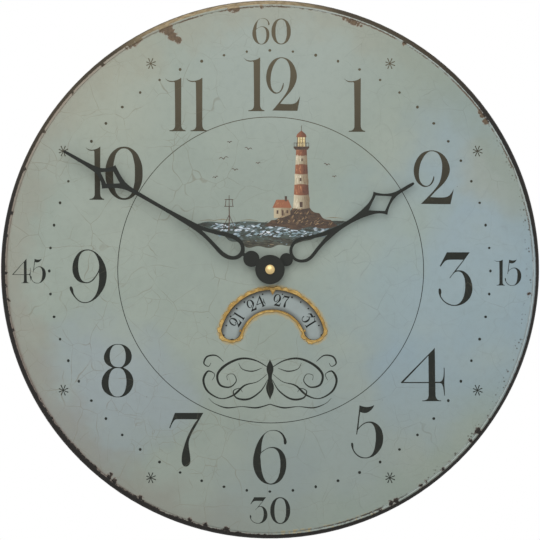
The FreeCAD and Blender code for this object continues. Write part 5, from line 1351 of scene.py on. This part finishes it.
def stage_and_lights():
    """Pale floor well below the clock, white beyond it, one large soft lamp high in front and one behind."""
    count, radius, drop = 96, 9.0, -0.43
    angles = [2 * math.pi * step / count for step in range(count)]
    floor = bpy.data.meshes.new("floor")
    floor.from_pydata([(radius * math.cos(angle), radius * math.sin(angle), drop) for angle in angles], [],
                      [tuple(range(count))])
    floor.materials.append(pale_floor())
    new_object("floor", floor)

    world = bpy.data.worlds.new("studio")
    bpy.context.scene.world = world
    world.use_nodes = True
    world.node_tree.nodes.clear()
    sky = Tree(world.node_tree.nodes, world.node_tree.links)
    path = sky.nodes.new("ShaderNodeLightPath")
    seen = seen_directly(sky).over(Socket(sky, path.outputs["Is Transmission Ray"]))
    light = sky.node("ShaderNodeBackground", {"Color": (1, 1, 1, 1), "Strength": seen * 0.55 + 0.45})
    end = sky.nodes.new("ShaderNodeOutputWorld")
    sky.links.new(light.end, end.inputs["Surface"])

    middle = Vector((0, -0.03, -axis_drop * mm))
    for name, spot, size, power in (("key", (-0.25, -1.62, 0.98), 2.3, 23.5),
                                    ("back", (0.7, 1.7, 0.8), 1.2, 15.0)):
        lamp = bpy.data.lights.new(name, "AREA")
        lamp.shape = "DISK"
        lamp.size = size
        lamp.energy = power
        holder = new_object(name, lamp)
        holder.location = spot
        holder.rotation_euler = (middle - Vector(spot)).to_track_quat("-Z", "Y").to_euler()


def front_camera():
    """Square on, from far enough to see the dial almost without perspective."""
    lens, view_width, middle_depth, middle_drop = 250.0, 361.3, -26.5, 0.34
    camera = bpy.data.cameras.new("camera")
    camera.lens = lens
    camera.clip_end = 60.0
    holder = new_object("camera", camera)
    away = view_width * mm * lens / camera.sensor_width
    holder.location = (0.0, middle_depth * mm - away, (-axis_drop - middle_drop) * mm)
    holder.rotation_euler = (quarter_turn, 0, 0)
    bpy.context.scene.camera = holder


def dress_nodes():
    """Gives every node of the frame its finish."""
    finishes = {
        "board": lacquered_board(), "dial_plate": dial_paint(), "back_ring": painted_ring(),
        "date_disc": date_card(), "rubber_washer": rubber_black(), "battery": battery_jacket(),
        "circuit_board": circuit_green(), "coil_winding": wound_copper(), "calendar_surround": gilding()}
    for material, names in (
            (blackened_hand(), "hour_hand minute_hand"),
            (bright_metal("turned_brass", (226, 202, 150), (186, 160, 106), rough=0.28),
             "hand_nut clamp_nut dial_washer threaded_bush hour_collet date_bush cannon_arbor hour_wheel"),
            (bright_metal("zinc_plate", (196, 198, 196), (146, 150, 150), rough=0.34),
             "hanger_plate ring_screws hanger_screws date_arbor jumper_screw crystal stator_screws"),
            (bright_metal("spring_steel", (176, 180, 184), (120, 124, 130), rough=0.28),
             "date_jumper contact_plus contact_minus friction_spring day_finger"),
            (bright_metal("dark_iron", (110, 110, 114), (70, 70, 74), rough=0.45, tarnish=0.5),
             "rotor_magnet stator coil_core"),
            (moulded("case_plastic", (30, 30, 31), (22, 22, 23), size=0.35, height_mm=0.05),
             "movement_case movement_cover"),
            (moulded("knob_plastic", (226, 223, 214), (206, 202, 190), rough=0.34, size=0.6, height_mm=0.02),
             "date_knob setting_knob coil_bobbin"),
            (moulded("wheel_plastic", (228, 222, 206), (204, 196, 178), rough=0.42, height_mm=0.02),
             "centre_wheel minute_wheel day_wheel third_wheel fourth_wheel fifth_wheel rotor")):
        finishes.update({name: material for name in names.split()})
    for name, material in finishes.items():
        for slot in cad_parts[name].material_slots:
            slot.material = material
    return finishes


front_camera()
stage_and_lights()
finishes = dress_nodes()
figure_paint = brushed_ink("figure_paint", (35, 38, 34), (100, 92, 74))
date_ink = brushed_ink("date_ink", (28, 30, 28), (34, 34, 30), rough=0.6)

for name, boxes in (("hour_figures", hour_figures), ("minute_figures", minute_figures)):
    place_piece([figure(*box) for box in boxes], name, figure_paint)
minute_dots = ring_of_dots("minute_dots", figure_paint, count=60, radius=147.4, dot=0.92, centre=(-0.1, -1.0),
                           depth=dial_front)
place_piece(minute_dots, "minute_dots")
date_dots = ring_of_dots("date_dots", date_ink, count=31, radius=33.0, dot=0.56, centre=date_centre,
                         depth=date_card_front)
place_piece(date_dots, "date_dots", body="date")
place_piece(hour_stars(figure_paint), "hour_stars")
circle = drawn_ring(radius=102.2, width=0.46, centre=(0.45, -0.33))
place_piece(circle, "chapter_circle", figure_paint)
scroll_flourish(figure_paint)
seaside_picture()
gilt_surround(finishes["calendar_surround"])
date_numbers(date_ink)
cover_marks(finishes["movement_cover"])
plate_screw = screw_mesh(head_radius=2.9, head_front=-1.3, head_back=0.0, shank_radius=1.4, tip=-12.0,
                         dome=False)
ring_screw = screw_mesh(head_radius=3.6, head_front=-10.4, head_back=-8.0, shank_radius=1.75, tip=-26.5,
                        dome=True)
ring_of_screws("plate_screw_set", plate_screw, 2, 19.0, finishes["hanger_screws"], "hanger_screws",
               middle=148.0, start=quarter_turn)
ring_of_screws("ring_screw_set", ring_screw, 6, 148.0, finishes["ring_screws"], "ring_screws")
